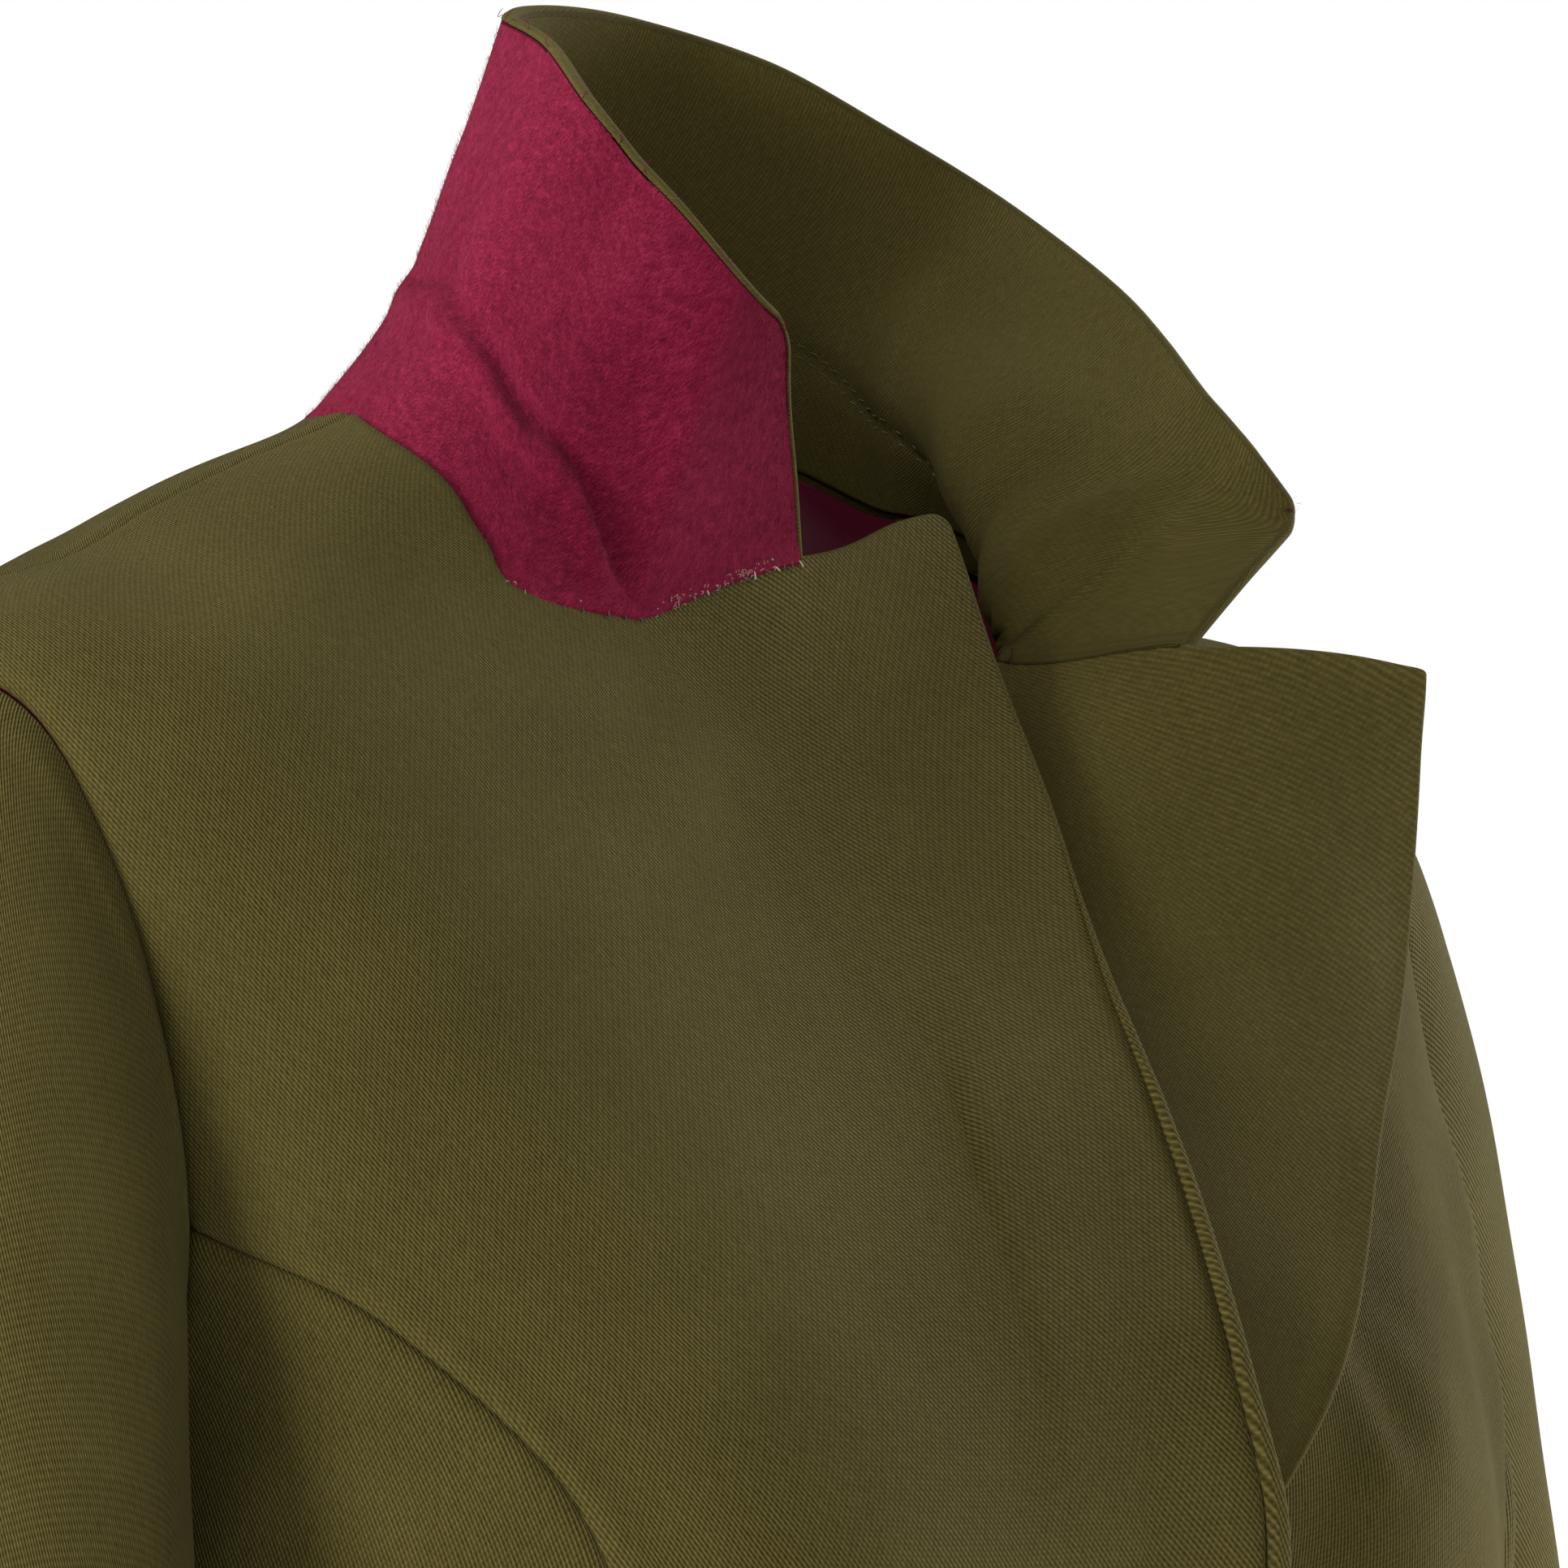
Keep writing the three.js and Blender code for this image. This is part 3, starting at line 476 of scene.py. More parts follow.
def away_from(points, line):
    """How far each point is from a drawn line, and the share of the line where that is.
    First the nearest corner is found, then the two stretches that meet there are tried."""
    flat = points.reshape(-1, 3)
    near = np.argmin((line ** 2).sum(1) - 2 * flat @ line.T, axis=1)
    last = len(line) - 1
    best, share = np.full(len(flat), 1e9), np.zeros(len(flat))
    for a, b in ((np.maximum(near - 1, 0), near), (near, np.minimum(near + 1, last))):
        way = line[b] - line[a]
        t = np.sum((flat - line[a]) * way, -1) / np.maximum(np.sum(way * way, -1), 1e-9)
        t = np.clip(t, 0, 1)
        away = np.linalg.norm(flat - line[a] - way * t[:, None], axis=-1)
        share = np.where(away < best, (a + t * (b - a)) / last, share)
        best = np.minimum(best, away)
    return best.reshape(points.shape[:-1]), share.reshape(points.shape[:-1])


def creases(points, draw, rows):
    """Soft ridges (height above 0) and troughs (below 0). Each row has a few places that
    `draw` turns into points, a height and a half width in mm. The height falls off as a
    bell across the line and as 1 − (2t − 1)⁴ towards its ends."""
    total = np.zeros(points.shape[:-1])
    for places, height, width in rows:
        steps = np.linspace(0, len(places) - 1, 40)
        away, t = away_from(points, draw(*np.moveaxis(curve(places, steps), -1, 0)))
        total += height * np.exp(-(away / width) ** 2) * (1 - (2 * t - 1) ** 4)
    return total


def uneven(points, size):
    """Cloth is never quite smooth: four slow waves that cross each other, in mm."""
    x, y, z = np.moveaxis(points, -1, 0) / size
    return (np.sin(1.0 * x + 0.7 * z + 0.4) + np.sin(0.9 * y - 1.1 * z + 1.9)
            + np.sin(1.7 * x - 1.3 * y + 0.8 * z) + np.sin(2.3 * z + 0.6 * x - 0.7)) / 4


def wales(across, up, slopes, span, pitch=1.0):
    """Cloth sizes turned so that the first runs across the twill's ribs and the second
    along them. The ribs' slope goes from slopes[0] to slopes[1] over the span of widths:
    across the ribs = (up − ∫ slope) / √(1 + mean slope²), and `pitch` widens the ribs."""
    u0, u1 = span
    t = np.clip((across - u0) / (u1 - u0), 0, 1)
    s0, s1 = slopes
    length = u1 - u0
    climb = s0 * np.minimum(across - u0, 0) + s1 * np.maximum(across - u1, 0)
    climb = climb + length * (s0 * t + (s1 - s0) * t * t / 2)
    mean = (s0 + s1) / 2
    scale = np.sqrt(1 + mean * mean) * pitch
    return np.stack([(up - climb) / scale, (across + mean * up) / scale], -1)


def patch(points, out, size, thick, roll, steady=False):
    """One grid of a wall; single numbers are spread over it."""
    shape = points.shape[:2]
    return {"points": points, "out": out, "size": size, "steady": steady,
            "thick": np.broadcast_to(thick, shape).astype(float),
            "roll": np.broadcast_to(roll, shape).astype(float)}


# %% [markdown]
# ## Finishes
#
# Cotton twill shows fine slanting ribs, each one broken into short floats of yarn. Their
# place comes from the cloth sizes in the UV map, so the ribs follow every panel. Wool felt
# has no weave: short fibres lie over each other in one main direction. Satin is smooth
# and shines along its threads, and a horn button is streaked under a polished skin.

# %% A small kit for finishes
class Finish:
    """A material with its main shader, and short names for the nodes that feed it."""

    def __init__(self, name, **sockets):
        self.material = bpy.data.materials.new(name)
        self.material.use_nodes = True
        self.nodes = self.material.node_tree.nodes
        self.links = self.material.node_tree.links
        self.shader = self.nodes["Principled BSDF"]
        for socket, value in sockets.items():
            self.shader.inputs[socket.replace("_", " ")].default_value = value

    def give(self, socket, value):
        """Links an output to a socket, or sets a number or colour on it."""
        if isinstance(value, bpy.types.NodeSocket):
            self.links.new(value, socket)
        else:
            socket.default_value = value

    def maths(self, job, *values):
        """The result of one sum; each value is a number or an output."""
        node = self.nodes.new("ShaderNodeMath")
        node.operation = job
        for socket, value in zip(node.inputs, values):
            self.give(socket, value)
        return node.outputs[0]

    def sizes(self):
        """The two cloth sizes in mm, read from the UV map."""
        uv = self.nodes.new("ShaderNodeUVMap")
        uv.uv_map = "Cloth"
        parts = self.nodes.new("ShaderNodeSeparateXYZ")
        self.links.new(uv.outputs[0], parts.inputs[0])
        return parts.outputs[0], parts.outputs[1]

    def stretched(self, x, y, along_x, along_y, detail=2.0, rough=0.5):
        """Noise whose grains are 1/along_x wide and 1/along_y long, in mm."""
        pair = self.nodes.new("ShaderNodeCombineXYZ")
        self.give(pair.inputs[0], self.maths("MULTIPLY", x, along_x))
        self.give(pair.inputs[1], self.maths("MULTIPLY", y, along_y))
        return self.noise(pair.outputs[0], 1.0, detail, rough)

    def noise(self, place, scale, detail=2.0, rough=0.5):
        """Smooth random grey with `scale` grains to a unit of `place`."""
        node = self.nodes.new("ShaderNodeTexNoise")
        self.give(node.inputs["Vector"], place)
        node.inputs["Scale"].default_value = scale
        node.inputs["Detail"].default_value = detail
        node.inputs["Roughness"].default_value = rough
        return node.outputs[0]

    def place(self):
        """The point of the piece in metres."""
        return self.nodes.new("ShaderNodeTexCoord").outputs["Object"]

    def wave(self, x, pitch):
        """A wave from 0 to 1 that repeats every `pitch` mm."""
        turn = self.maths("MULTIPLY", x, 2 * np.pi / pitch)
        return self.maths("MULTIPLY_ADD", self.maths("SINE", turn), 0.5, 0.5)

    def ramp(self, share, *stops):
        """A colour for each share from 0 to 1; the stops are (share, colour)."""
        node = self.nodes.new("ShaderNodeValToRGB")
        band = node.color_ramp.elements
        while len(band) < len(stops):
            band.new(0.5)
        for knot, (at, colour) in zip(band, stops):
            knot.position, knot.color = at, (*colour, 1)
        self.give(node.inputs[0], share)
        return node.outputs[0]

    def colour(self, value):
        """Gives the surface its colour."""
        self.give(self.shader.inputs["Base Color"], value)

    def bump(self, height, deep, strength=1.0):
        """Shades the surface as if it rose `deep` metres where the height is 1."""
        node = self.nodes.new("ShaderNodeBump")
        node.inputs["Strength"].default_value = strength
        node.inputs["Distance"].default_value = deep
        self.give(node.inputs["Height"], height)
        self.give(self.shader.inputs["Normal"], node.outputs[0])


def total(finish, *pairs):
    """The sum of each value times its weight."""
    sum_so_far = 0.0
    for value, weight in pairs:
        sum_so_far = finish.maths("MULTIPLY_ADD", value, weight, sum_so_far)
    return sum_so_far


# %% Twill, felt, satin, horn and thread
WALE = 0.72


def twill_finish(name, crisp, dark, middle, light):
    """Ribs of yarn `WALE` apart in cloth sizes. The tone is the sum of the rib, its short
    floats, the yarn's thickness, flecks and slow mottling, each with its weight.
    `crisp` is 1 where the ribs are sharp and less where the cloth is pressed smooth."""
    f = Finish(name, Roughness=0.9, Specular_IOR_Level=0.08, Sheen_Weight=0.03,
               Sheen_Roughness=0.5, Sheen_Tint=(0.6, 0.55, 0.3, 1))
    x, y = f.sizes()
    drift = f.stretched(x, y, 0.05, 0.02)
    x = f.maths("MULTIPLY_ADD", drift, 1.5, x)
    rib = f.wave(x, WALE)
    number = f.maths("FLOOR", f.maths("DIVIDE", x, WALE))
    floats = f.wave(f.maths("MULTIPLY_ADD", number, 0.43, y), 1.15)
    yarn = f.stretched(x, y, 2.2, 0.35, 3.0, 0.6)
    fleck = f.stretched(x, y, 0.9, 1.3, 2.0, 0.7)
    cloud = f.noise(f.place(), 14.0, 3.0, 0.55)
    tone = total(f, (rib, 0.42 * crisp), (floats, 0.16 * crisp), (yarn, 0.45), (fleck, 0.30),
                 (cloud, 0.40), (1.0, 0.29 * (1 - crisp)))
    tone = f.maths("SUBTRACT", tone, 0.365)
    f.colour(f.ramp(tone, (0.15, dark), (0.5, middle), (0.85, light)))
    f.bump(total(f, (rib, 0.8), (floats, 0.3), (yarn, 0.5)), 0.00024 * crisp, 1.0)
    return f.material


def felt_finish(name):
    """Fibres: two fine noises, each stretched along its own slant of the nap."""
    f = Finish(name, Roughness=0.95, Specular_IOR_Level=0.05, Sheen_Weight=0.05,
               Sheen_Roughness=0.4, Sheen_Tint=(1.0, 0.25, 0.4, 1))
    x, y = f.sizes()
    a = f.maths("MULTIPLY_ADD", y, 0.35, x)
    b = f.maths("MULTIPLY_ADD", y, -0.5, x)
    long_fibre = f.stretched(a, y, 4.6, 0.8, 4.0, 0.7)
    short_fibre = f.stretched(b, y, 6.0, 1.7, 3.0, 0.65)
    tuft = f.stretched(x, y, 0.6, 0.35, 3.0, 0.6)
    patchy = f.noise(f.place(), 30.0, 2.0, 0.5)
    tone = total(f, (long_fibre, 1.0), (short_fibre, 0.7), (tuft, 0.45), (patchy, 0.2))
    tone = f.maths("SUBTRACT", tone, 0.675)
    f.colour(f.ramp(tone, (0.2, (0.062, 0.0023, 0.0100)), (0.5, (0.165, 0.0076, 0.0275)),
                    (0.8, (0.310, 0.024, 0.067))))
    f.bump(total(f, (long_fibre, 0.8), (short_fibre, 0.6), (tuft, 0.7)), 0.0006, 0.9)
    return f.material


def satin_finish(name):
    """Fine lines of thread along the cloth, and a slow cloud over them."""
    f = Finish(name, Roughness=0.45, Specular_IOR_Level=0.25, Sheen_Weight=0.08,
               Sheen_Tint=(1.0, 0.2, 0.4, 1))
    x, y = f.sizes()
    line = f.stretched(x, y, 4.0, 0.15, 2.0, 0.5)
    cloud = f.noise(f.place(), 9.0, 2.0, 0.5)
    f.colour(f.ramp(total(f, (line, 0.6), (cloud, 0.4)), (0.3, (0.13, 0.004, 0.024)),
                    (0.7, (0.24, 0.009, 0.046))))
    f.bump(line, 0.00005, 0.5)
    return f.material


def horn_finish(name):
    """Streaks of two sizes added up, under a clear polished coat."""
    f = Finish(name, Roughness=0.3, Specular_IOR_Level=0.55, Coat_Weight=0.25,
               Coat_Roughness=0.15)
    streak = f.noise(f.place(), 420.0, 5.0, 0.65)
    broad = f.noise(f.place(), 110.0, 3.0, 0.6)
    f.colour(f.ramp(total(f, (streak, 0.45), (broad, 0.55)), (0.3, (0.010, 0.008, 0.004)),
                    (0.55, (0.035, 0.026, 0.012)), (0.75, (0.09, 0.065, 0.03))))
    f.bump(streak, 0.00005, 0.4)
    return f.material


def thread_finish(name, dark, light):
    """Two plies twisted round each other: a slanting wave along the thread."""
    f = Finish(name, Roughness=0.6, Specular_IOR_Level=0.35, Sheen_Weight=0.2)
    x, y = f.sizes()
    twist = f.wave(f.maths("MULTIPLY_ADD", x, 0.8, y), 0.45)
    f.colour(f.ramp(twist, (0.1, dark), (0.9, light)))
    f.bump(twist, 0.00004, 0.6)
    return f.material


TWILL = twill_finish("olive_twill", 1.0, (0.027, 0.0202, 0.0040), (0.066, 0.0525, 0.0118),
                     (0.128, 0.107, 0.0320))
PRESSED_TWILL = twill_finish("pressed_twill", 0.4, (0.027, 0.0202, 0.0040),
                             (0.062, 0.0495, 0.0112), (0.118, 0.099, 0.0300))
FELT = felt_finish("crimson_felt")
SATIN = satin_finish("crimson_lining")
HORN = horn_finish("dark_horn")
OLIVE_THREAD = thread_finish("olive_thread", (0.05, 0.045, 0.018), (0.12, 0.11, 0.05))
DARK_THREAD = thread_finish("dark_thread", (0.02, 0.008, 0.014), (0.06, 0.02, 0.035))
PALE_THREAD = thread_finish("pale_thread", (0.30, 0.24, 0.20), (0.62, 0.52, 0.45))


# %% [markdown]
# ## The lines of the pattern
#
# These are the lines a cutter would chalk: armhole, princess seam, neck, fold and edge.
# Each is a short table of (angle, level, lift), with the angle counted towards the side
# that the panel is on. The same line is used by both panels that meet at it.

# %% Pattern tables
ARMHOLE = [(90, 8), (84, 7.95), (78.5, 7.8), (74.5, 7.5), (71.6, 7.08), (70, 6.5), (73.5, 6.05),
           (82, 5.8), (97, 5.74), (105, 5.98), (109.5, 6.4), (110, 6.9), (106.5, 7.4), (99, 7.8)]
PRINCESS = [(41, 0), (41, 1), (40.5, 2), (40.5, 3), (41, 4), (43.5, 5), (47.6, 5.79),
            (57.6, 6.28), (70, 6.5)]
NECK = [(41.5, 9.12), (55, 8.9), (60.5, 9.16), (69, 9.55), (90, 10)]
RIGHT_FOLD = [(10, 0), (10, 1), (10, 2), (10, 3), (9.5, 4), (9, 4.9), (9, 5.6), (9, 6.2),
              (9.5, 6.75), (9.3, 7.35), (20, 8.15), (41.5, 9.12)]
RIGHT_EDGE = [(-9.6, 0, 2.6), (-9.8, 1, 2.6), (-10.2, 2, 2.6), (-10.2, 3, 2.6), (-10, 4, 3),
              (-13, 4.85, 5), (-13.2, 5.5, 6.8), (-11.7, 6.1, 9), (-13.6, 6.68, 9),
              (-17.2, 7.32, 9), (-28.8, 8.3, 9), (-43, 9.92, 4.5)]
RIGHT_LAPEL_TOP = [(41.5, 9.12, 0), (29, 9.53, 2), (16, 9.8, 3), (3.4, 9.94, 3),
                   (-12, 10, 3.5), (-28, 10.03, 4), (-43, 9.92, 4.5)]
LEFT_ROLL = [
    # angle, level, lift of the front, lift of the lapel
    (-9.6, 0, -2.6, 0), (-9.8, 1, -2.6, 0), (-10, 2, -2.6, 0), (-10, 3, -2.6, 0),
    (-9.5, 4, -3.4, -0.6), (-2.5, 4.85, -5.2, -1.8), (1.8, 5.55, -5.4, -1.4),
    (4.6, 6.1, -5.6, -1.2), (8.5, 6.68, -5.8, -1), (14.5, 7.35, -6, -0.8),
    (26, 8.22, -6, -0.2), (41.5, 9.12, -6, 0.6)]
LEFT_LAPEL_EDGE = [
    # row of LEFT_ROLL, angle, level, lift
    (4.5, -2.2, 4.6, -1.4), (5, 4.3, 5.0, 0.4), (6, 14.0, 5.68, 3.4), (7, 22.8, 6.15, 5.2),
    (8, 35.6, 6.76, 8.4), (9, 47.8, 7.27, 16.5), (10, 56, 7.72, 30), (11, 58.3, 7.93, 38)]
LAPEL_FROM = 4.5    # the row of LEFT_ROLL where the lapel begins
HEM_START = 0.013   # the level where a front's grid begins, so that its edge ends at 0
TOP = 11            # the last row of both fronts' tables
HEM_BAND = 4.0
SEAM_STEPS = np.linspace(0, 1, 300)


def armhole(at):
    """The armhole is a closed ring of 14 rows, so its table goes on past its end."""
    return curve([ARMHOLE[-1], *ARMHOLE, ARMHOLE[0], ARMHOLE[1]], np.asarray(at, float) + 1)


def front_outer(s):
    """Station s from 0 to 8 climbs the princess seam, and from 8 to 11 the armhole."""
    s = np.asarray(s, float)[..., None]
    return flat_rows(np.where(s <= 8, curve(PRINCESS, s[..., 0]), armhole(13 - s[..., 0])))


def stretch_of(line, first, last):
    """A table or a line from station `first` to `last`, as a function of a share from 0
    to 1. Rows with no lift get a lift of 0."""
    def at_share(share):
        at = first + (last - first) * np.asarray(share, float)
        rows = line(at) if callable(line) else curve(line, at)
        return rows if rows.shape[-1] == 3 else flat_rows(rows)
    return at_share


def drawn(line, side, drop):
    """A table's line, as points on the form."""
    return body(line[..., 0] * side, line[..., 1], drop)


def front_seams(side, drop):
    """The princess, armhole and shoulder seams round a front: points, depth and width."""
    t = SEAM_STEPS
    return [(drawn(curve(PRINCESS, t * 8), side, drop), 1.1, 1.5),
            (drawn(armhole(5 * t), side, drop), 1.0, 1.6),
            (body(90 * side + 0 * t, 8 + 2 * t, drop), 1.1, 1.0)]


def valleys(points, seams):
    """The valleys of several seams added up."""
    return sum(seam_valley(away_from(points, line)[0], deep, wide) for line, deep, wide in seams)


def shoulder_pad(bare):
    """A pad lifts the middle of the right shoulder and lets its end down; the left one
    has sunk a little. Each is a bell round its place, and all fade out 60 mm down."""
    x, z = bare[..., 0], bare[..., 2]
    right = 1.9 * np.exp(-((x + 88) / 30) ** 2) - 2.8 * smooth((-x - 122) / 24)
    left = -0.8 * np.exp(-((x - 88) / 30) ** 2)
    left = left - 3.2 * np.exp(-((x - 120) / 26) ** 2 - ((z + 38) / 24) ** 2)
    return np.where(x < 0, right, left) * smooth((z + 62) / 40)


def form_line(side, drop):
    """How creases draws (angle, level) places on one side of the form."""
    return lambda a, l: body(a * side, l, drop)


def panel(grid, side, drop, relief, slopes, span, thick, roll, pitch=1.0):
    """Lays a grid of (angle, level, lift) on the form. The relief is a function of the
    points on the bare form, so panels that share a line get the same height on it."""
    angle, level = grid[..., 0] * side, grid[..., 1]
    bare = body(angle, level, drop)
    points = lay(angle, level, grid[..., 2] + relief(bare), drop)
    size = wales(*cloth_size(angle, level), slopes, span, pitch)
    return patch(points, outward(angle, level, drop), size, thick, roll)


def hem_thick(levels_up):
    """Thickness above the hem, for places so many levels up from it."""
    return turned_edge(levels_up * FIRST_STEP + EDGE_IN, HEM_BAND)


def chest_thick(s_rows, u):
    """A front's chest: the turned hem, and the allowance under the first 8 mm beside the
    princess seam, which is 90 mm from the fold."""
    allowance = CLOTH + 0.5 * np.exp(-(u * 90 / 8) ** 4)
    return np.maximum(hem_thick((s_rows - s_rows[0])[:, None]), allowance)


def above_chest(low_outer, low_inner, u):
    """A front above its chest, up to the shoulder seam, between armhole and neck."""
    uu, vv = np.meshgrid(u, crowded(50, 0.0, 0.75))
    return fill(between(low_outer, low_inner), between((90, 8, 0), (90, 10, 0)),
                stretch_of(armhole, 2, 0), stretch_of(NECK, 0, 4), uu, vv), uu, vv


# %% [markdown]
# ## The right front
#
# On the real jacket this is one cut piece from the shoulder to the hem, with a facing
# behind it. The lapel is not folded back: it stands flat, and only a soft ridge shows
# where it was pressed. Its edge is turned and stitched, so a thin band runs along it, and
# the stitching pulls a groove beside the band.
#
# The piece is three grids that share their lines: the chest, the lapel and the upper part.

# %% Right front
RIGHT_CREASES = [
    # (angle, level) places, height, half width
    ([(38, 8.75), (44, 8.2), (52, 7.6)], -0.9, 9), ([(33, 8.6), (36, 8.05), (44, 7.3)], 0.8, 9),
    ([(60, 8.9), (62, 8.3), (66, 7.5)], -0.7, 10), ([(70, 9.3), (70, 8.6), (71, 8.0)], 0.6, 9),
    ([(66, 7.0), (52, 6.7), (38, 6.1)], -0.8, 12), ([(68, 6.6), (56, 6.2), (44, 5.5)], 0.7, 11),
    ([(5, 4.1), (20, 4.5), (36, 5.2)], -1.1, 9), ([(6, 3.9), (22, 3.9), (39, 4.2)], 1.0, 8),
    ([(8, 3.5), (22, 3.2), (36, 3.1)], -1.0, 9), ([(30, 2.6), (33, 1.6), (36, 0.3)], 1.2, 14),
    ([(14, 2.2), (15, 1.3), (17, 0.2)], -1.0, 13), ([(-4, 6.9), (-2, 5.9), (2, 5.1)], -0.6, 9),
]
LAPEL_TURNED = 2.7              # thickness of the turned edge of the lapel
LAPEL_IN = LAPEL_TURNED / 2     # the grid stops this far inside, and the rim fills the rest
LAPEL_CELLS, BAND_CELLS = 26, 10


def band_width(v):
    """The band is 4.8 mm wide up to the chest and narrows to 1.1 mm towards the tip."""
    return 1.1 + 3.7 * smooth((10.2 - v * TOP) / 5.0)


def right_lapel_grid(s_rows, fold, edge):
    """Shares across and up the lapel, and its (angle, level, lift) grid. One column of the
    grid follows the inside of the band, so the groove beside it stays straight."""
    v = np.broadcast_to((s_rows / TOP)[:, None], (len(s_rows), LAPEL_CELLS + BAND_CELLS + 2))
    wide = np.linalg.norm(lay(-edge[:, 0], edge[:, 1]) - body(-fold[:, 0], fold[:, 1]), axis=-1)
    band = band_width(v[:, :1])
    inner = 1 - np.maximum(band - 0.85, 0.4) / (wide[:, None] - LAPEL_IN)
    line = SEAM_SLIT / wide[:, None]
    across = np.concatenate([
        crowded(LAPEL_CELLS, 0.1, 0.93) * (inner - line),
        inner + line + (1 - inner - line) * np.linspace(0, 1, BAND_CELLS + 1)], 1)
    free_top = smooth((across - 0.5) / 0.03)
    v = v * (1 - free_top * smooth((v - 0.5) / 0.5) * LAPEL_IN / 640)
    across = across * (1 - LAPEL_IN / wide[:, None])
    across, v = round_off(across, v, wide[-1], 660.0, 5.5)
    fold_at, edge_at = stretch_of(RIGHT_FOLD, 0, TOP), stretch_of(RIGHT_EDGE, 0, TOP)
    return across, v, fill(between(fold_at(0.0), edge_at(0.0)),
                           stretch_of(RIGHT_LAPEL_TOP, 0, 6), fold_at, edge_at, across, v)


def right_front():
    """Three grids on the form. Relief = seam valleys + a bell along the roll line + creases
    + slow waves + the shoulder pad."""
    s_rows = HEM_START + (TOP - HEM_START) * crowded(250, 0.75, 0.8)
    outer, fold = front_outer(s_rows), flat_rows(curve(RIGHT_FOLD, s_rows))
    edge = curve(RIGHT_EDGE, s_rows)
    u = crowded(44, 0.75, 0.35)
    chest = outer[:, None] * (1 - u[:, None]) + fold[:, None] * u[:, None]
    across, v, lapel = right_lapel_grid(s_rows, fold, edge)
    upper = above_chest(outer[-1], fold[-1], u)[0]
    seams = front_seams(-1, 0)
    roll_line = drawn(curve(RIGHT_FOLD, 4.3 + 6.7 * SEAM_STEPS), -1, 0)

    def relief(bare):
        rise = valleys(bare, seams)
        away, at = away_from(bare, roll_line)
        rise += 1.1 * np.exp(-(away / 6.5) ** 2) * smooth(at * 5) * smooth((1 - at) * 9)
        rise += creases(bare, form_line(-1, 0), RIGHT_CREASES)
        return rise + 0.45 * uneven(bare, 17.0) + shoulder_pad(bare)

    weave = (-1.6, -0.75), (-130, 50)
    one = panel(chest, -1, 0, relief, *weave, chest_thick(s_rows, u),
                rolls(chest.shape[:2], "bottom"), 1.2)

    # The lapel's thickness follows the way to its free edges, and the stitching pulls a
    # groove into it beside the band.
    _, right, _, high = border_ways(lay(-lapel[..., 0], lapel[..., 1], lapel[..., 2]))
    away = right + LAPEL_IN
    away = np.where(across > 0.5, np.minimum(away, high + LAPEL_IN), away)
    band = band_width(v)
    beside = away - band
    pulled = np.exp(-(np.maximum(beside - 0.6, 0) / 4.2) ** 2) * smooth((beside + 0.5) / 0.9)
    lapel[..., 2] -= 1.15 * pulled * smooth((10.4 - v * TOP) / 3)
    thick = np.maximum(turned_edge(away, band, LAPEL_TURNED),
                       hem_thick((s_rows - s_rows[0])[:, None]))
    roll = rolls(thick.shape, "bottom", "right")
    roll[-1, across[-1] > 0.5] = 1
    two = panel(lapel, -1, 0, relief, *weave, thick, roll, 1.2)
    steep = wales(*cloth_size(-lapel[..., 0], lapel[..., 1]), (-2.4, -2.4), (0, 100))
    in_band = np.arange(v.shape[1]) > LAPEL_CELLS
    two["size"] = np.where(in_band[:, None], steep, two["size"])
    three = panel(upper, -1, 0, relief, *weave, CLOTH, SEAM_ROLL, 1.2)
    return [one, two, three]


cloth("right_front_cloth", right_front(), TWILL,
      nodes=["right_front"])

# %% [markdown]
# ## The left front and its lapel
#
# The left front lies under the right one, and above the upper button it turns over along
# its roll line. The turn is a half circle of cloth, and the lapel then spreads back over
# the chest and lifts off it towards its tip. The inner edge of the front is pressed down a
# little, to leave room for the layer that lies over it.

# %% Left front
LEFT_CREASES = [
    # (angle, level) places, height, half width
    ([(62, 6.9), (54, 6.55), (47, 6.4)], 1.4, 7), ([(64, 6.3), (56, 5.9), (46, 5.6)], -1.0, 8),
    ([(60, 5.9), (55, 5.3), (50, 4.9)], 0.9, 8), ([(70, 9.2), (68, 8.5), (70, 7.9)], 0.8, 9),
    ([(62, 8.8), (60, 8.2), (62, 7.6)], -0.8, 9), ([(5, 4.0), (20, 4.4), (36, 5.0)], -1.0, 9),
    ([(6, 3.6), (22, 3.8), (39, 4.0)], 0.9, 9), ([(8, 3.1), (22, 2.9), (36, 2.9)], -0.9, 10),
    ([(30, 2.4), (34, 1.4), (37, 0.3)], 1.1, 14), ([(15, 2.0), (16, 1.1), (20, 0.2)], -0.9, 13),
]
LEFT_DRAPE = [
    # folds that fan out from under the lapel towards the sleeve: (x, y, z) places in mm
    ([(62, -122, -168), (65, -128, -180), (66, -134, -192), (66, -140, -206)], 2.3, 4.5),
    ([(70, -124, -174), (73, -130, -184), (74, -136, -196)], -1.3, 4.5),
    ([(96, -112, -152), (90, -121, -166), (85, -130, -182), (84, -139, -210)], 1.4, 8),
    ([(84, -119, -164), (86, -124, -172), (86, -129, -181)], -1.0, 3.5),
    ([(94, -108, -147), (90, -114, -156), (83, -120, -166)], -1.0, 4),
    ([(141, -85, -130), (134, -100, -160), (124, -114, -198), (118, -121, -232)], 1.5, 5),
    ([(128, -96, -132), (121, -108, -160), (111, -120, -196), (108, -126, -232)], -1.2, 7),
    ([(112, -98, -120), (108, -108, -140), (101, -117, -160)], 0.9, 6),
]


def in_space(x, y, z):
    """Draws a crease straight from places in mm."""
    return np.stack([x, y, z], -1)


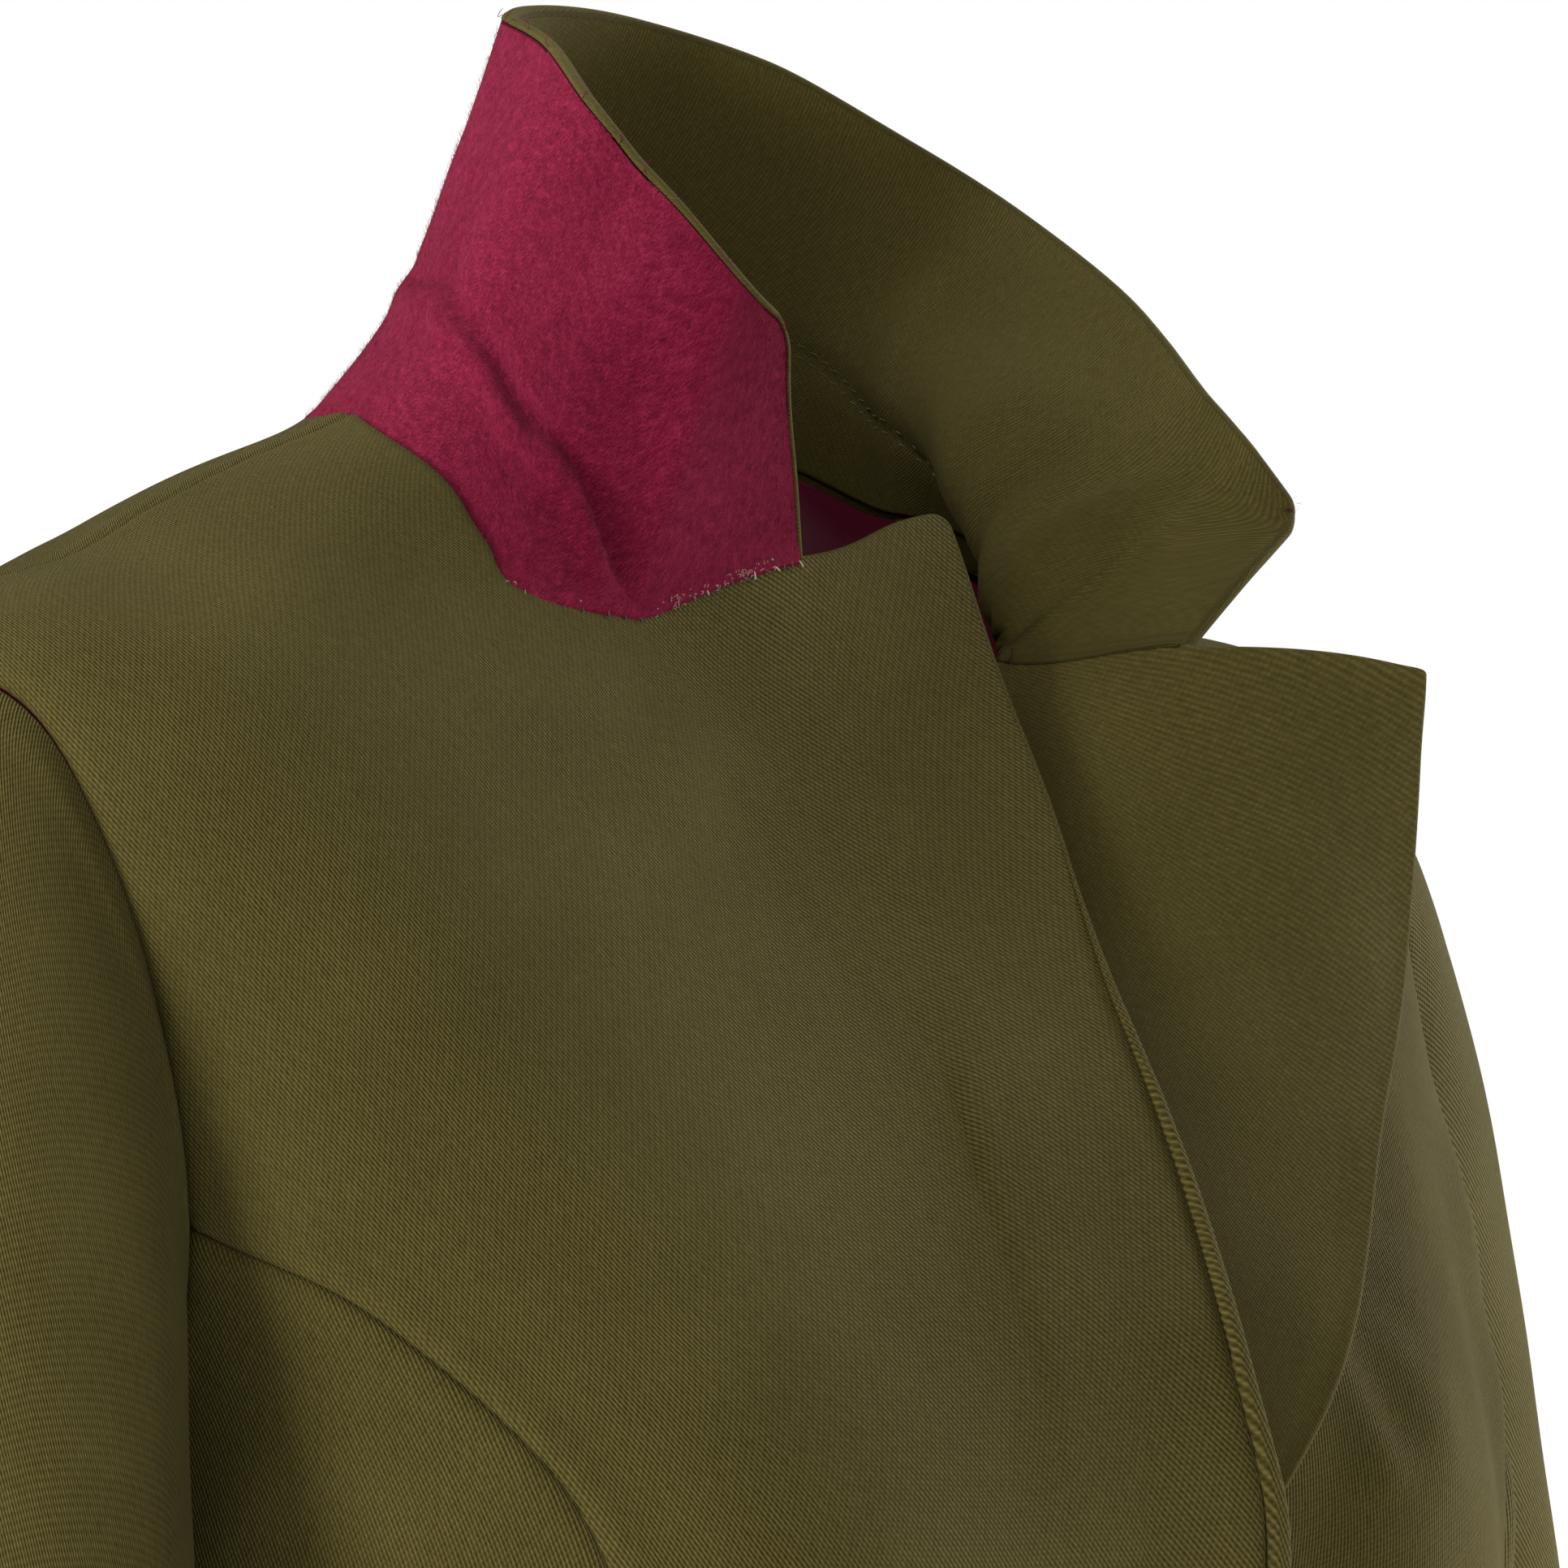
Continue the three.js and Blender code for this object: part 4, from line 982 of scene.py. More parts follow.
def left_front():
    """Two grids on the form. The last two thirds of the way to the roll line sink by the
    table's lift, and the relief fades there, so that the other layer fits over it."""
    s_rows = HEM_START + (TOP - HEM_START) * crowded(210, 0.75, 0.3)
    outer, inner = front_outer(s_rows), curve(LEFT_ROLL, s_rows)[:, :3]
    u = crowded(44, 0.75, 0.3)
    chest = outer[:, None] * (1 - u[:, None]) + inner[:, None] * u[:, None]
    chest[..., 2] = inner[:, 2:3] * smooth((u - 0.33) / 0.29)

    upper, uu, vv = above_chest(outer[-1], inner[-1] * (1, 1, 0), u)
    pressed = curve([(-6,), (-2.2,), (0,), (0,), (0,)], vv * 4)[..., 0]
    upper[..., 2] = pressed * smooth((uu - 0.33) / 0.29) * np.where(uu > 0.999, 1, 1 - vv)
    seams = front_seams(1, LEFT_DROP)
    inner_line = drawn(curve(LEFT_ROLL, SEAM_STEPS * TOP), 1, LEFT_DROP)

    def relief(bare):
        rise = valleys(bare, seams)
        rise += creases(bare, form_line(1, LEFT_DROP), LEFT_CREASES)
        free = smooth((away_from(bare, inner_line)[0] - 14) / 30)
        rise = rise * np.clip(free + 0.25, 0, 1) + 0.35 * free * uneven(bare, 17.0)
        rise += creases(bare, in_space, LEFT_DRAPE)
        return rise + shoulder_pad(bare)

    weave = (4.0, 7.0), (-50, 130)
    one = panel(chest, 1, LEFT_DROP, relief, *weave, chest_thick(s_rows, u),
                rolls(chest.shape[:2], "bottom"))
    two = panel(upper, 1, LEFT_DROP, relief, *weave, CLOTH, SEAM_ROLL)
    return [one, two]


cloth("left_front_cloth", left_front(), TWILL,
      nodes=["left_front"])


# %% Left lapel
def left_lapel_points(s, turn, u):
    """The turn runs from 0.025 to 1 round a half circle; u then goes out to the edge."""
    angle, level, below, above = np.moveaxis(curve(LEFT_ROLL, s), -1, 0)
    edge_angle, edge_level, edge_lift = np.moveaxis(placed(LEFT_LAPEL_EDGE, s), -1, 0)
    radius = (above - below)[..., None] / 2
    middle = lay(angle, level, (above + below) / 2, LEFT_DROP)
    out = unit(lay(angle, level, above, LEFT_DROP) - middle)
    away = unit(body(angle - 0.5, level, LEFT_DROP) - body(angle, level, LEFT_DROP))
    a = np.pi * turn[..., None]
    round_it = middle - out * radius * np.cos(a) + away * radius * np.sin(a)
    lift = above + (edge_lift - above) * u ** 1.25
    at, up = angle + (edge_angle - angle) * u, level + (edge_level - level) * u
    tip = smooth((u - 0.57) / 0.43) * smooth((s - 10) / 1)
    at, up = at + 1.25 * tip, up + 0.02 * tip
    bow = np.clip((u - 0.5) / 0.5, 0, 1)
    up = up - 0.085 * bow * (1 - bow) * smooth((s - 9.3) / 1.5)
    spread = lay(at, up, lift, LEFT_DROP)
    return np.where((turn < 1)[..., None], round_it, spread), at, up


def left_lapel():
    """The turn and the spread part in one grid. It stops short of its free edges by half a
    thick edge, thickens there, and waves slowly in the middle."""
    rows, cols, turns, notch = 200, 46, 12, 0.57
    v = np.broadcast_to(crowded(rows, 0.0, 0.85)[:, None], (rows + 1, cols + turns))
    u = np.concatenate([np.zeros(turns - 1), crowded(cols, 0.1, 0.84)])
    u = np.broadcast_to(u, v.shape)
    turn = np.concatenate([np.linspace(0.025, 1, turns)[:-1], np.ones(cols + 1)])
    turn = np.broadcast_to(turn, v.shape)
    s = LAPEL_FROM + (TOP - LAPEL_FROM) * v[:, 0]
    ends = [left_lapel_points(s, np.ones(rows + 1), np.full(rows + 1, e))[0] for e in (0.0, 1.0)]
    wide = np.linalg.norm(ends[1] - ends[0], axis=-1)[:, None]
    free_top = smooth((u - notch) / 0.03)
    v = v * (1 - free_top * smooth((v - 0.5) / 0.5) * LAPEL_IN / 330)
    inset = 1 - np.where(turn < 1, 0, np.minimum(LAPEL_IN / wide, 0.4))
    flat_u, flat_v = round_off(u * inset, v, wide[-1, 0], 360.0, 2.6)
    flat_v = np.where(turn < 1, v, flat_v)
    points, at, up = left_lapel_points(LAPEL_FROM + (TOP - LAPEL_FROM) * flat_v, turn, flat_u)
    left, right, _, high = border_ways(points)
    away = np.where(u > notch, np.minimum(right, high), right) + LAPEL_IN
    thick = np.where(turn < 1, CLOTH, CLOTH + 0.6 * np.exp(-(away / 3.5) ** 2))
    n = unit(np.cross(np.gradient(points, axis=1), np.gradient(points, axis=0)))
    n *= np.sign(np.sum(n * outward(at, up, LEFT_DROP), -1).mean())
    soft = smooth((left - 12) / 18) * smooth((right - 2) / 10) * smooth(high / 12)
    points = points + n * (0.5 * uneven(points, 15.0) * soft)[..., None]
    roll = rolls(thick.shape, "right")
    roll[-1, u[-1] > notch] = 1
    across, climb = cloth_size(at, up)
    across = across + np.where(turn < 1, (turn - 1) * 10, 0)
    size = wales(across, climb, (-4.0, -1.0), (0, 75), 0.9)
    return [patch(points, n, size, thick, roll)]


cloth("left_lapel_cloth", left_lapel(), PRESSED_TWILL,
      nodes=["left_lapel"])

# %% [markdown]
# ## Side fronts and backs
#
# A princess seam shapes the front without darts: it runs from the armhole over the bust to
# the hem. Behind it the side front goes round to the side seam, and two backs meet in the
# middle. Seen from the side, the waist pulls a few soft creases.

# %% Side fronts
SIDE_ANGLE, SIDE_SEAM_TOP = 97, 5.74
SIDE_START = 0.0017     # the share where a side front's grid begins above its hem
SIDE_HEIGHT = 560       # from the hem to the top of a side front, mm
SIDE_CREASES = [
    ([(46, 4.1), (60, 3.8), (80, 3.5)], -1.2, 8), ([(48, 3.5), (66, 3.2), (90, 3.1)], 1.1, 8),
    ([(50, 3.0), (68, 2.7), (88, 2.5)], -1.0, 9), ([(62, 6.1), (70, 5.4), (76, 4.7)], 1.0, 10),
    ([(84, 5.6), (85, 5.0), (88, 4.3)], -1.1, 9), ([(58, 1.9), (60, 1.1), (62, 0.2)], 1.2, 14),
    ([(78, 1.8), (79, 1.0), (82, 0.2)], -1.2, 13),
]


def side_front(side, drop):
    """One grid between the princess seam, the armhole and the side seam. Relief = slow
    waves + creases + seam valleys."""
    up = SIDE_START + (1 - SIDE_START) * crowded(170, 0.7, 0.7)
    u, v = np.meshgrid(crowded(40, 0.7, 0.7), up)
    grid = fill(between((41, 0, 0), (SIDE_ANGLE, 0, 0)), stretch_of(armhole, 5, 8),
                stretch_of(PRINCESS, 0, 8),
                between((SIDE_ANGLE, 0, 0), (SIDE_ANGLE, SIDE_SEAM_TOP, 0)), u, v)
    t = SEAM_STEPS
    seams = [drawn(curve(PRINCESS, t * 8), side, drop), drawn(armhole(5 + 3 * t), side, drop),
             body(SIDE_ANGLE * side + 0 * t, SIDE_SEAM_TOP * t, drop)]

    def relief(bare):
        rise = 0.45 * uneven(bare, 18.0) + creases(bare, form_line(side, drop), SIDE_CREASES)
        if side > 0:
            rise += creases(bare, in_space, LEFT_DRAPE)
        for seam in seams:
            rise += seam_valley(away_from(bare, seam)[0], 1.0, 1.5)
        return rise

    hem = turned_edge((v - v[0]) * SIDE_HEIGHT + EDGE_IN, HEM_BAND)
    slopes = (-3.4, -4.0) if side < 0 else (4.0, 4.0)
    return [panel(grid, side, drop, relief, slopes, (-150, 150), hem, rolls(u.shape, "bottom"))]


for name, side, drop in (("right_side_front", -1, 0), ("left_side_front", 1, LEFT_DROP)):
    cloth(name + "_cloth", side_front(side, drop), TWILL,
          nodes=[name])

# %% Backs
BACK_CREASES = [
    ([(100, 4.0), (120, 3.7), (150, 3.5)], -1.2, 8),
    ([(100, 3.4), (124, 3.1), (160, 3.2)], 1.1, 8),
    ([(104, 2.8), (128, 2.6), (168, 2.8)], -1.0, 9),
    ([(116, 6.9), (124, 6.2), (128, 5.4)], 1.1, 11),
    ([(112, 6.3), (117, 5.5), (120, 4.7)], -1.0, 10),
    ([(150, 9.4), (146, 8.8), (150, 8.2)], -0.8, 10),
    ([(122, 1.8), (124, 1.0), (126, 0.2)], 1.3, 15),
    ([(150, 2.0), (152, 1.0), (156, 0.2)], -1.2, 14),
]


def back_outer(q):
    """Station q: the side seam from 0 to 16, the armhole to 28, the shoulder to 36."""
    side_part = np.stack([np.full(q.shape, float(SIDE_ANGLE)), q * SIDE_SEAM_TOP / 16], -1)
    arm_part = armhole(8 + (q - 16) / 2)
    shoulder = np.stack([np.full(q.shape, 90.0), 8 + (q - 28) / 4], -1)
    q = q[..., None]
    return np.where(q <= 16, side_part, np.where(q <= 28, arm_part, shoulder))


def back_grid(lowest, highest, inset, cells, rows, thin):
    """Rows from the outer line straight to the middle of the back (180°), drawn in by the
    share `inset` at the outer line. `rows` are the cells beside each of its three parts."""
    q = np.concatenate([lowest + (16 - lowest) * crowded(rows[0], thin, 0.2)[:-1],
                        16 + 12 * crowded(rows[1], 0.2, 0.2)[:-1],
                        28 + (highest - 28) * crowded(rows[2], 0.2, thin)])
    edge = back_outer(q)
    u = inset + (1 - inset) * crowded(cells, thin, thin)
    angle = edge[:, :1] * (1 - u) + 180 * u
    return np.stack([angle, edge[:, 1:] + 0 * u, 0 * angle], -1)


def back(side, drop):
    """One grid from the outer seams to the middle one. Relief as on the side fronts, and
    the shoulder pad."""
    grid = back_grid(0.04, 36, 0, 44, (110, 60, 50), 0.7)
    t = np.linspace(0, 1, 400)
    seams = [drawn(back_outer(36 * t), side, drop), body(180 * side + 0 * t, 10 * t, drop)]

    def relief(bare):
        rise = 0.45 * uneven(bare, 18.0) + creases(bare, form_line(side, drop), BACK_CREASES)
        rise += shoulder_pad(bare)
        for seam in seams:
            rise += seam_valley(away_from(bare, seam)[0], 1.0, 1.5)
        return rise

    hem = hem_thick(grid[..., 1] - grid[0, 0, 1])
    slopes = (-3.0, -3.0) if side < 0 else (3.0, 3.0)
    return [panel(grid, side, drop, relief, slopes, (-200, 200), hem,
                  rolls(hem.shape, "bottom"))]


for name, side, drop in (("right_back", -1, 0), ("left_back", 1, LEFT_DROP)):
    cloth(name + "_cloth", back(side, drop), TWILL, nodes=[name])


# %% Lining
def back_lining():
    """One layer of satin inside both backs. It is cut a little wide, and the spare width
    falls into soft upright folds."""
    patches = []
    for side, drop in ((-1, 0), (1, LEFT_DROP)):
        grid = back_grid(0.4, 35.95, 0.016, 36, (90, 40, 36), 0.0)
        angle = grid[..., 0]
        folds = 0.5 * np.cos(np.radians((angle - 180) * 9)) * smooth((10.2 - grid[..., 1]) / 2)
        bare = body(angle * side, grid[..., 1], drop)
        rise = folds + 0.3 * uneven(bare, 9.0) * smooth((180 - angle) / 10)
        deep = smooth((10.02 - grid[..., 1]) / 0.7)
        points = lay(angle * side, grid[..., 1], rise * deep - 1.25 - 2.85 * deep, drop)
        size = np.stack(cloth_size(angle * side, grid[..., 1]), -1)
        patches.append(patch(points, outward(angle * side, grid[..., 1], drop), size, 0.8, 0.8))
    return patches


cloth("back_lining_satin", back_lining(), SATIN, slot="lining",
      nodes=["back_lining"])

# %% [markdown]
# ## The collar
#
# A tailored collar has two layers. The under collar is felt, because felt can be shrunk
# and stretched to shape and its edges need no turning. The upper collar is twill, and its
# edge is rolled over the edge of the felt as a narrow rim. Worn turned up, the collar
# stands on the neck seam, bends at its crease and leans outward.
#
# Each section is a smooth curve through three points: the seam, the crease and the edge.
# The stand leaves the seam straight up, and both parts share one slope at the crease.

# %% Sections of the collar
NOTCH_TO_NOTCH = 27     # the last station; the middle of the back is at 13
COLLAR = [
    # section, stand x y z, edge x y z
    (0, 0, 0, 0, -11, -54, 19), (3, 0, 0, 0, -24, -56, 27), (4, 17, 5, 28, -33, -50, 40),
    (5, 17, 6, 27, -35, -38, 51), (6, 19, 6, 26, -34, -26, 62), (7, 22, 0, 25, -22, 0, 77),
    (9, 29, 3, 28, -1, 38, 89), (13, 9, 5, 29, 41, 54, 94), (16, 6, 3, 30, 75, 44, 86),
    (17.67, 7, 4, 28, 96, 26, 71), (19, 0, 6, 22, 110.8, 8, 55.8),
    (20, -15, 7, 14, 111, -22, 36.6), (21, -18, 8, 13, 109, -38, 25),
    (22, -17, 7, 11, 106, -52, 13.5), (22.5, -9, 3, 6, 107, -58.5, 7),
    (23, 0, 0, 0, 107.5, -65, 0.4), (27, 0, 0, 0, 113, -73, -12.5)]


def neck_seam(at):
    """The seam from the right notch (0) round the back (13) to the left notch (27)."""
    at = np.asarray(at, float)
    top = curve(RIGHT_LAPEL_TOP, 3 - np.clip(at, 0, 3))
    right = flat_rows(curve(NECK, np.clip(at, 3, 7) - 3))
    behind = np.stack([180 - 15 * np.abs(at - 13), 0 * at + 10, 0 * at], -1)
    left = flat_rows(curve(NECK, 4 - (np.clip(at, 19, 23) - 19)))
    left[..., 2] = 0.6 * smooth(at - 22)
    u = (np.clip(at, 23, 27) - 23)[..., None] / 7
    low, high = np.array((41.5, 9.12, 0.6)), np.array((58.3, 7.93, 38.0))
    lapel = low + (high - low) * np.concatenate([u, u, u ** 1.25], -1)
    rows = np.select([(at < 3)[..., None], (at < 7)[..., None], (at < 19)[..., None],
                      (at < 23)[..., None]], [top, right, behind, left], lapel)
    side = np.where(at < 13, -1, 1)
    drop = np.where(at < 13, 0, LEFT_DROP)
    return lay(rows[..., 0] * side, rows[..., 1], rows[..., 2], drop)


def collar_surface(at, w):
    """The point at share w of each section, and the length of the stand and the whole. Below
    the crease it is a cubic from the seam, above it one to the edge; where w is below 0 the
    section goes straight on downward."""
    row = placed(COLLAR, at)
    flat = ((at <= 3) | (at >= 23))[..., None]
    stand, edge = np.where(flat, 0, row[..., :3]), row[..., 3:]
    seam = neck_seam(at)
    crease = seam + stand
    s, fall = np.linalg.norm(stand, axis=-1, keepdims=True), edge - crease
    f = np.linalg.norm(fall, axis=-1, keepdims=True)
    fall = fall / f
    stiff = smooth(s / 14)
    up = unit(fall * (1 - stiff) + stand / np.maximum(s, 1e-9) * stiff)
    bend = unit(up * f + fall * s)
    run = w[..., None] * (s + f)
    low = hermite(seam, crease, up * s, bend * s, np.clip(run / np.maximum(s, 1e-9), 0, 1))
    high = hermite(crease, edge, bend * f, fall * f, np.clip((run - s) / f, 0, 1))
    below = seam + up * run
    return np.where(run < 0, below, np.where(run < s, low, high)), s[..., 0], (s + f)[..., 0]


def collar_grid(columns, rows, inset, first, radius):
    """A grid of the collar drawn in by `inset` mm from its edge and its two ends. Its first
    row is first(station) mm up from the seam, and the two tips are rounded."""
    u, v = np.meshgrid(crowded(columns, 0.9, 0.9), crowded(rows, 0.55, 0.85))
    whole = collar_surface(NOTCH_TO_NOTCH * u, 0 * v)[2]

    def one_mm(end, beside):
        """The share of u that one mm takes at an end."""
        near, far = (collar_surface(0 * u + at, v)[0] for at in (end, beside))
        return 0.5 / NOTCH_TO_NOTCH * np.linalg.norm(far - near, axis=-1) ** -1

    right_mm, left_mm = one_mm(0, 0.5), one_mm(NOTCH_TO_NOTCH, NOTCH_TO_NOTCH - 0.5)
    u = u * (1 - inset * (right_mm + left_mm)) + inset * right_mm
    first = first(NOTCH_TO_NOTCH * u)
    w = (first + (whole - inset - first) * v) / whole
    for at_right, mm in ((False, left_mm), (True, right_mm)):
        a = 1 - u if at_right else u
        ua, wb = round_off(a + inset * mm, w + inset / whole, 1 / mm, whole, radius)
        near = (a > 0.9) & (w > 0.8)
        a = np.where(near, ua - inset * mm, a)
        w = np.where(near, wb - inset / whole, w)
        u = 1 - a if at_right else a
    points, stand, whole = collar_surface(NOTCH_TO_NOTCH * u, w)
    n = unit(np.cross(np.gradient(points, axis=1), np.gradient(points, axis=0)))
    if np.sum(n[:, columns // 2] * (0, 1, 0)) < 0:
        n = -n
    return u, w, points, n, stand, whole


def collar_waves(points, u, w, stand, whole):
    """Both layers wave together, more towards the free edge. Just below the crease the
    stand swells into a soft ridge, and just above it the fall is drawn in."""
    at, run = NOTCH_TO_NOTCH * u, w * whole
    right = np.exp(-((at - 7.3) / 2.4) ** 2)
    swell = 1.2 * np.exp(-((w - 0.66) / 0.17) ** 2) - 1.4 * smooth((0.45 - w) / 0.2)
    top = -1.6 * smooth((w - 0.78) / 0.2) * np.exp(-((at - 8.4) / 1.5) ** 2)
    shown = smooth((stand - 4) / 14)
    fold = run - stand - 3.0 * np.exp(-((at - 7.4) / 1.4) ** 2)
    fold = fold + 3.0 * np.exp(-((at - 4.6) / 1.9) ** 2)
    ridge = np.exp(-((fold + 4) / 4.2) ** 2) * shown
    dent = np.exp(-((fold - 2.2) / 2.8) ** 2) * shown
    near = smooth((10.5 - at) / 3.5)
    wave = 1.1 * uneven(points, 13.0) * smooth(w * 1.6 - 0.35)
    return wave + right * swell + top + ridge * (0.6 + 1.6 * near) - dent * (0.3 + 1.9 * near)


def flush_left(u, run):
    """1 on the left lapel near the seam, where collar and lapel lie in one surface."""
    return smooth(NOTCH_TO_NOTCH * u - 22) * np.exp(-(run / 9) ** 2)


def stitch_groove(run, stand):
    """A narrow bell along the stand, 4 mm below the crease, between two rows of stitches."""
    return np.exp(-(run - stand + 4) ** 2)


def felt_middle(points, u, w, stand, whole):
    """How far the felt's middle lies outside the collar's own surface, in mm: a steady
    distance + the waves + a small swelling over the seam."""
    return 0.98 + collar_waves(points, u, w, stand, whole) + 0.5 * np.exp(-(w * whole / 2.2) ** 2)


# %% Under collar
FELT_THICK = 1.35


def felt_collar():
    """One layer of felt outside the collar's own surface, cut raw at its edge. It begins
    just under the fronts, and on the left just above the seam."""
    u, w, p, n, stand, whole = collar_grid(
        300, 74, 1.9, lambda at: -1.6 + 2.6 * smooth((at - 20.5) / 1.5), 4.0)
    run = w * whole
    lift = felt_middle(p, u, w, stand, whole)
    p = p + n * (lift + 0.75 * flush_left(u, run))[..., None]
    return [patch(p, n, np.stack([u * 330, run], -1), FELT_THICK, 0.8, True)]


cloth("under_collar_felt", felt_collar(), FELT, slot="felt",
      nodes=["under_collar"])


# %% Upper collar
def twill_collar():
    """One layer of twill inside the collar's own surface. At the free edges it thickens
    outward into a rim that covers the edge of the felt, with a shallow dip beside it."""
    inset = 1.7
    u, w, p, n, stand, whole = collar_grid(300, 80, inset, lambda at: 0.1 + 0 * at, 4.5)
    at, up_it = NOTCH_TO_NOTCH * u, w * whole
    wave = collar_waves(p, u, w, stand, whole)
    left, right, _, high = border_ways(p)
    away = np.minimum(np.minimum(left, right), high) + inset
    rim = 1 - smooth((away - inset) / 0.45)
    dip = np.exp(-((away - 2.4) / 0.5) ** 2)
    groove = stitch_groove(up_it, stand)
    groove *= smooth((at - 3.9) * 2) * smooth((21.9 - at) * 2)
    thick = 1.3 + 2.2 * rim - 0.25 * dip
    middle = -0.95 + 1.1 * rim - 0.12 * dip + wave + 0.6 * groove + 0.95 * flush_left(u, up_it)
    size = np.stack([left * 0.97 + up_it * 0.25, up_it], -1)
    diagonal = np.stack([(left + up_it * 1.6) * 0.55, up_it - left * 0.6], -1)
    size = np.where((rim > 0.5)[..., None], diagonal, size)
    roll = rolls(u.shape, "top", "left", "right")
    return [patch(p + n * middle[..., None], n, size, thick, roll, True)]


cloth("upper_collar_cloth", twill_collar(), PRESSED_TWILL,
      nodes=["upper_collar"])

# %% [markdown]
# ## The sleeves
#
# A set-in sleeve is cut in two: a wide upper part, whose top is eased into the armhole, and
# a narrow under part. From the armhole each line leaves the body along a smooth curve and
# ends straight down the arm. Empty sleeves fall into long creases at the elbow.

# %% Sleeves
ROUND = 14      # stations round the armhole
ARM_END = 6     # the cap is 0 to 1, and the rings of the arm's table are 1 to 6
# where each station ends on the arm's ring, in degrees round it, 0 being the outside
ARM_TURN = [0, 22, 45, 68, 90, 113, 138, 159, 180, 204, 229, 255, 286, 324]
SLEEVE_FRONT, SLEEVE_BACK = 6, 11   # the stations of the sleeve's two seams
CUFF_BAND = 3.5
RIGHT_ARM = [
    # z, middle out, middle back, inward, outward, forward, backward
    (-236, 191, -29, 29, 43, 59, 55), (-290, 195, -36, 29, 41, 53, 51),
    (-360, 200, -48, 30, 37, 48, 47), (-440, 204, -66, 30, 34, 44, 43),
    (-520, 207, -84, 30, 32, 42, 41), (-588, 209, -98, 30, 31, 41, 40)]
LEFT_ARM = [
    (-236, 196, 4, 31, 44, 57, 54), (-290, 205.5, -2, 31, 41, 53, 51),
    (-360, 212, -13, 31, 37, 48, 47), (-440, 216, -30, 30, 34, 44, 43),
    (-520, 219, -48, 30, 32, 42, 41), (-588, 221, -62, 30, 31, 41, 40)]


def arm_ring(side, arm, turn, at):
    """An egg-shaped ring of the arm, a little tilted: a quarter ellipse each for outward,
    inward, forward and backward."""
    z, x, y, inward, outer, forward, backward = np.moveaxis(curve(arm, at), -1, 0)
    c, s = np.cos(np.radians(turn)), np.sin(np.radians(turn))
    dx = c * np.where(c > 0, outer, inward)
    dy = -s * np.where(s > 0, forward, backward)
    return np.stack([side * (x + dx), y + dy, z - dx * 0.06 + dy * 0.12], -1)


def sleeve_surface(side, arm, drop, at, down):
    """`at` is the place round the armhole; `down` is 0 to 1 on the cap, then 1 to 6.
    Cap = the cubic from the armhole to the arm's first ring. It starts square to the form
    at the sides, and outward and a little down at the top; then come the arm's rings."""
    table_angle, table_level = np.array(ARMHOLE, float).T
    centre = body(table_angle * side, table_level, drop).mean(0)
    a, l = np.moveaxis(armhole(at % ROUND), -1, 0)
    turns = [(v,) for v in (ARM_TURN[-1] - 360, *ARM_TURN, 360, 382)]
    turn = curve(turns, at % ROUND + 1)[..., 0]
    start = body(a * side, l, drop)
    normal = lay(a * side, l, 1.0, drop) - start
    out = unit((start - centre) * (0, 1, 1))
    top = smooth((out[..., 2:] + 0.35) / 1.1)
    zero = 0 * out[..., 1]
    beside = np.stack([zero, np.minimum(0, out[..., 1]) * 0.6, zero - 0.3], -1)
    above = np.stack([zero + side * 0.9, out[..., 1] * 0.5, zero - 0.4], -1)
    leave = unit((normal * 0.95 + beside) * (1 - top) + above * top)
    end = arm_ring(side, arm, turn, zero)
    reach = np.linalg.norm(end - start, axis=-1, keepdims=True)
    way = unit(arm_ring(side, arm, turn, zero + 0.2) - end)
    inward = centre - start
    inward = unit(inward - normal * np.sum(inward * normal, -1, keepdims=True))
    start = start - normal * (1.3 - 0.4 * top) + leave * 0.35 + inward * 0.62
    full = 0.45 - 0.12 * top if side < 0 else 0.41
    cap = hermite(start, end, leave * reach * full, way * reach * 0.9,
                  np.clip(down, 0, 1)[..., None])
    rest = arm_ring(side, arm, turn, np.clip(down - 1, 0, ARM_END - 1))
    return np.where((down < 1)[..., None], cap, rest)


SLEEVE_CREASES = [
    # (place round the armhole, way down), height, half width
    ([(16.5, 1.5), (18.0, 2.2), (19.0, 2.6)], -1.6, 7),
    ([(17.5, 2.2), (18.6, 2.8), (19.6, 3.1)], 1.4, 7),
    ([(13.0, 2.6), (14.5, 2.9), (16.0, 3.5)], 1.5, 9),
    ([(12.0, 3.1), (13.8, 3.4), (15.5, 3.8)], -1.7, 8),
    ([(11.5, 3.8), (13.0, 3.9), (15.0, 4.5)], 1.3, 9),
    ([(15.5, 3.9), (17.0, 4.1), (18.5, 4.0)], -1.3, 9),
    ([(16.0, 0.3), (16.8, 0.9), (17.3, 1.6)], 0.9, 9),
    ([(13.0, 0.4), (13.2, 1.0), (13.8, 1.8)], -0.8, 10),
    ([(7.0, 1.5), (8.5, 2.0), (10.0, 2.2)], -1.4, 8),
    ([(7.0, 3.0), (8.5, 3.2), (10.5, 3.0)], 1.3, 8),
    ([(8.0, 3.9), (9.0, 4.2), (10.5, 4.0)], -1.2, 8),
    ([(12.0, 4.8), (14.0, 4.9), (17.0, 5.2)], -0.8, 12),
]


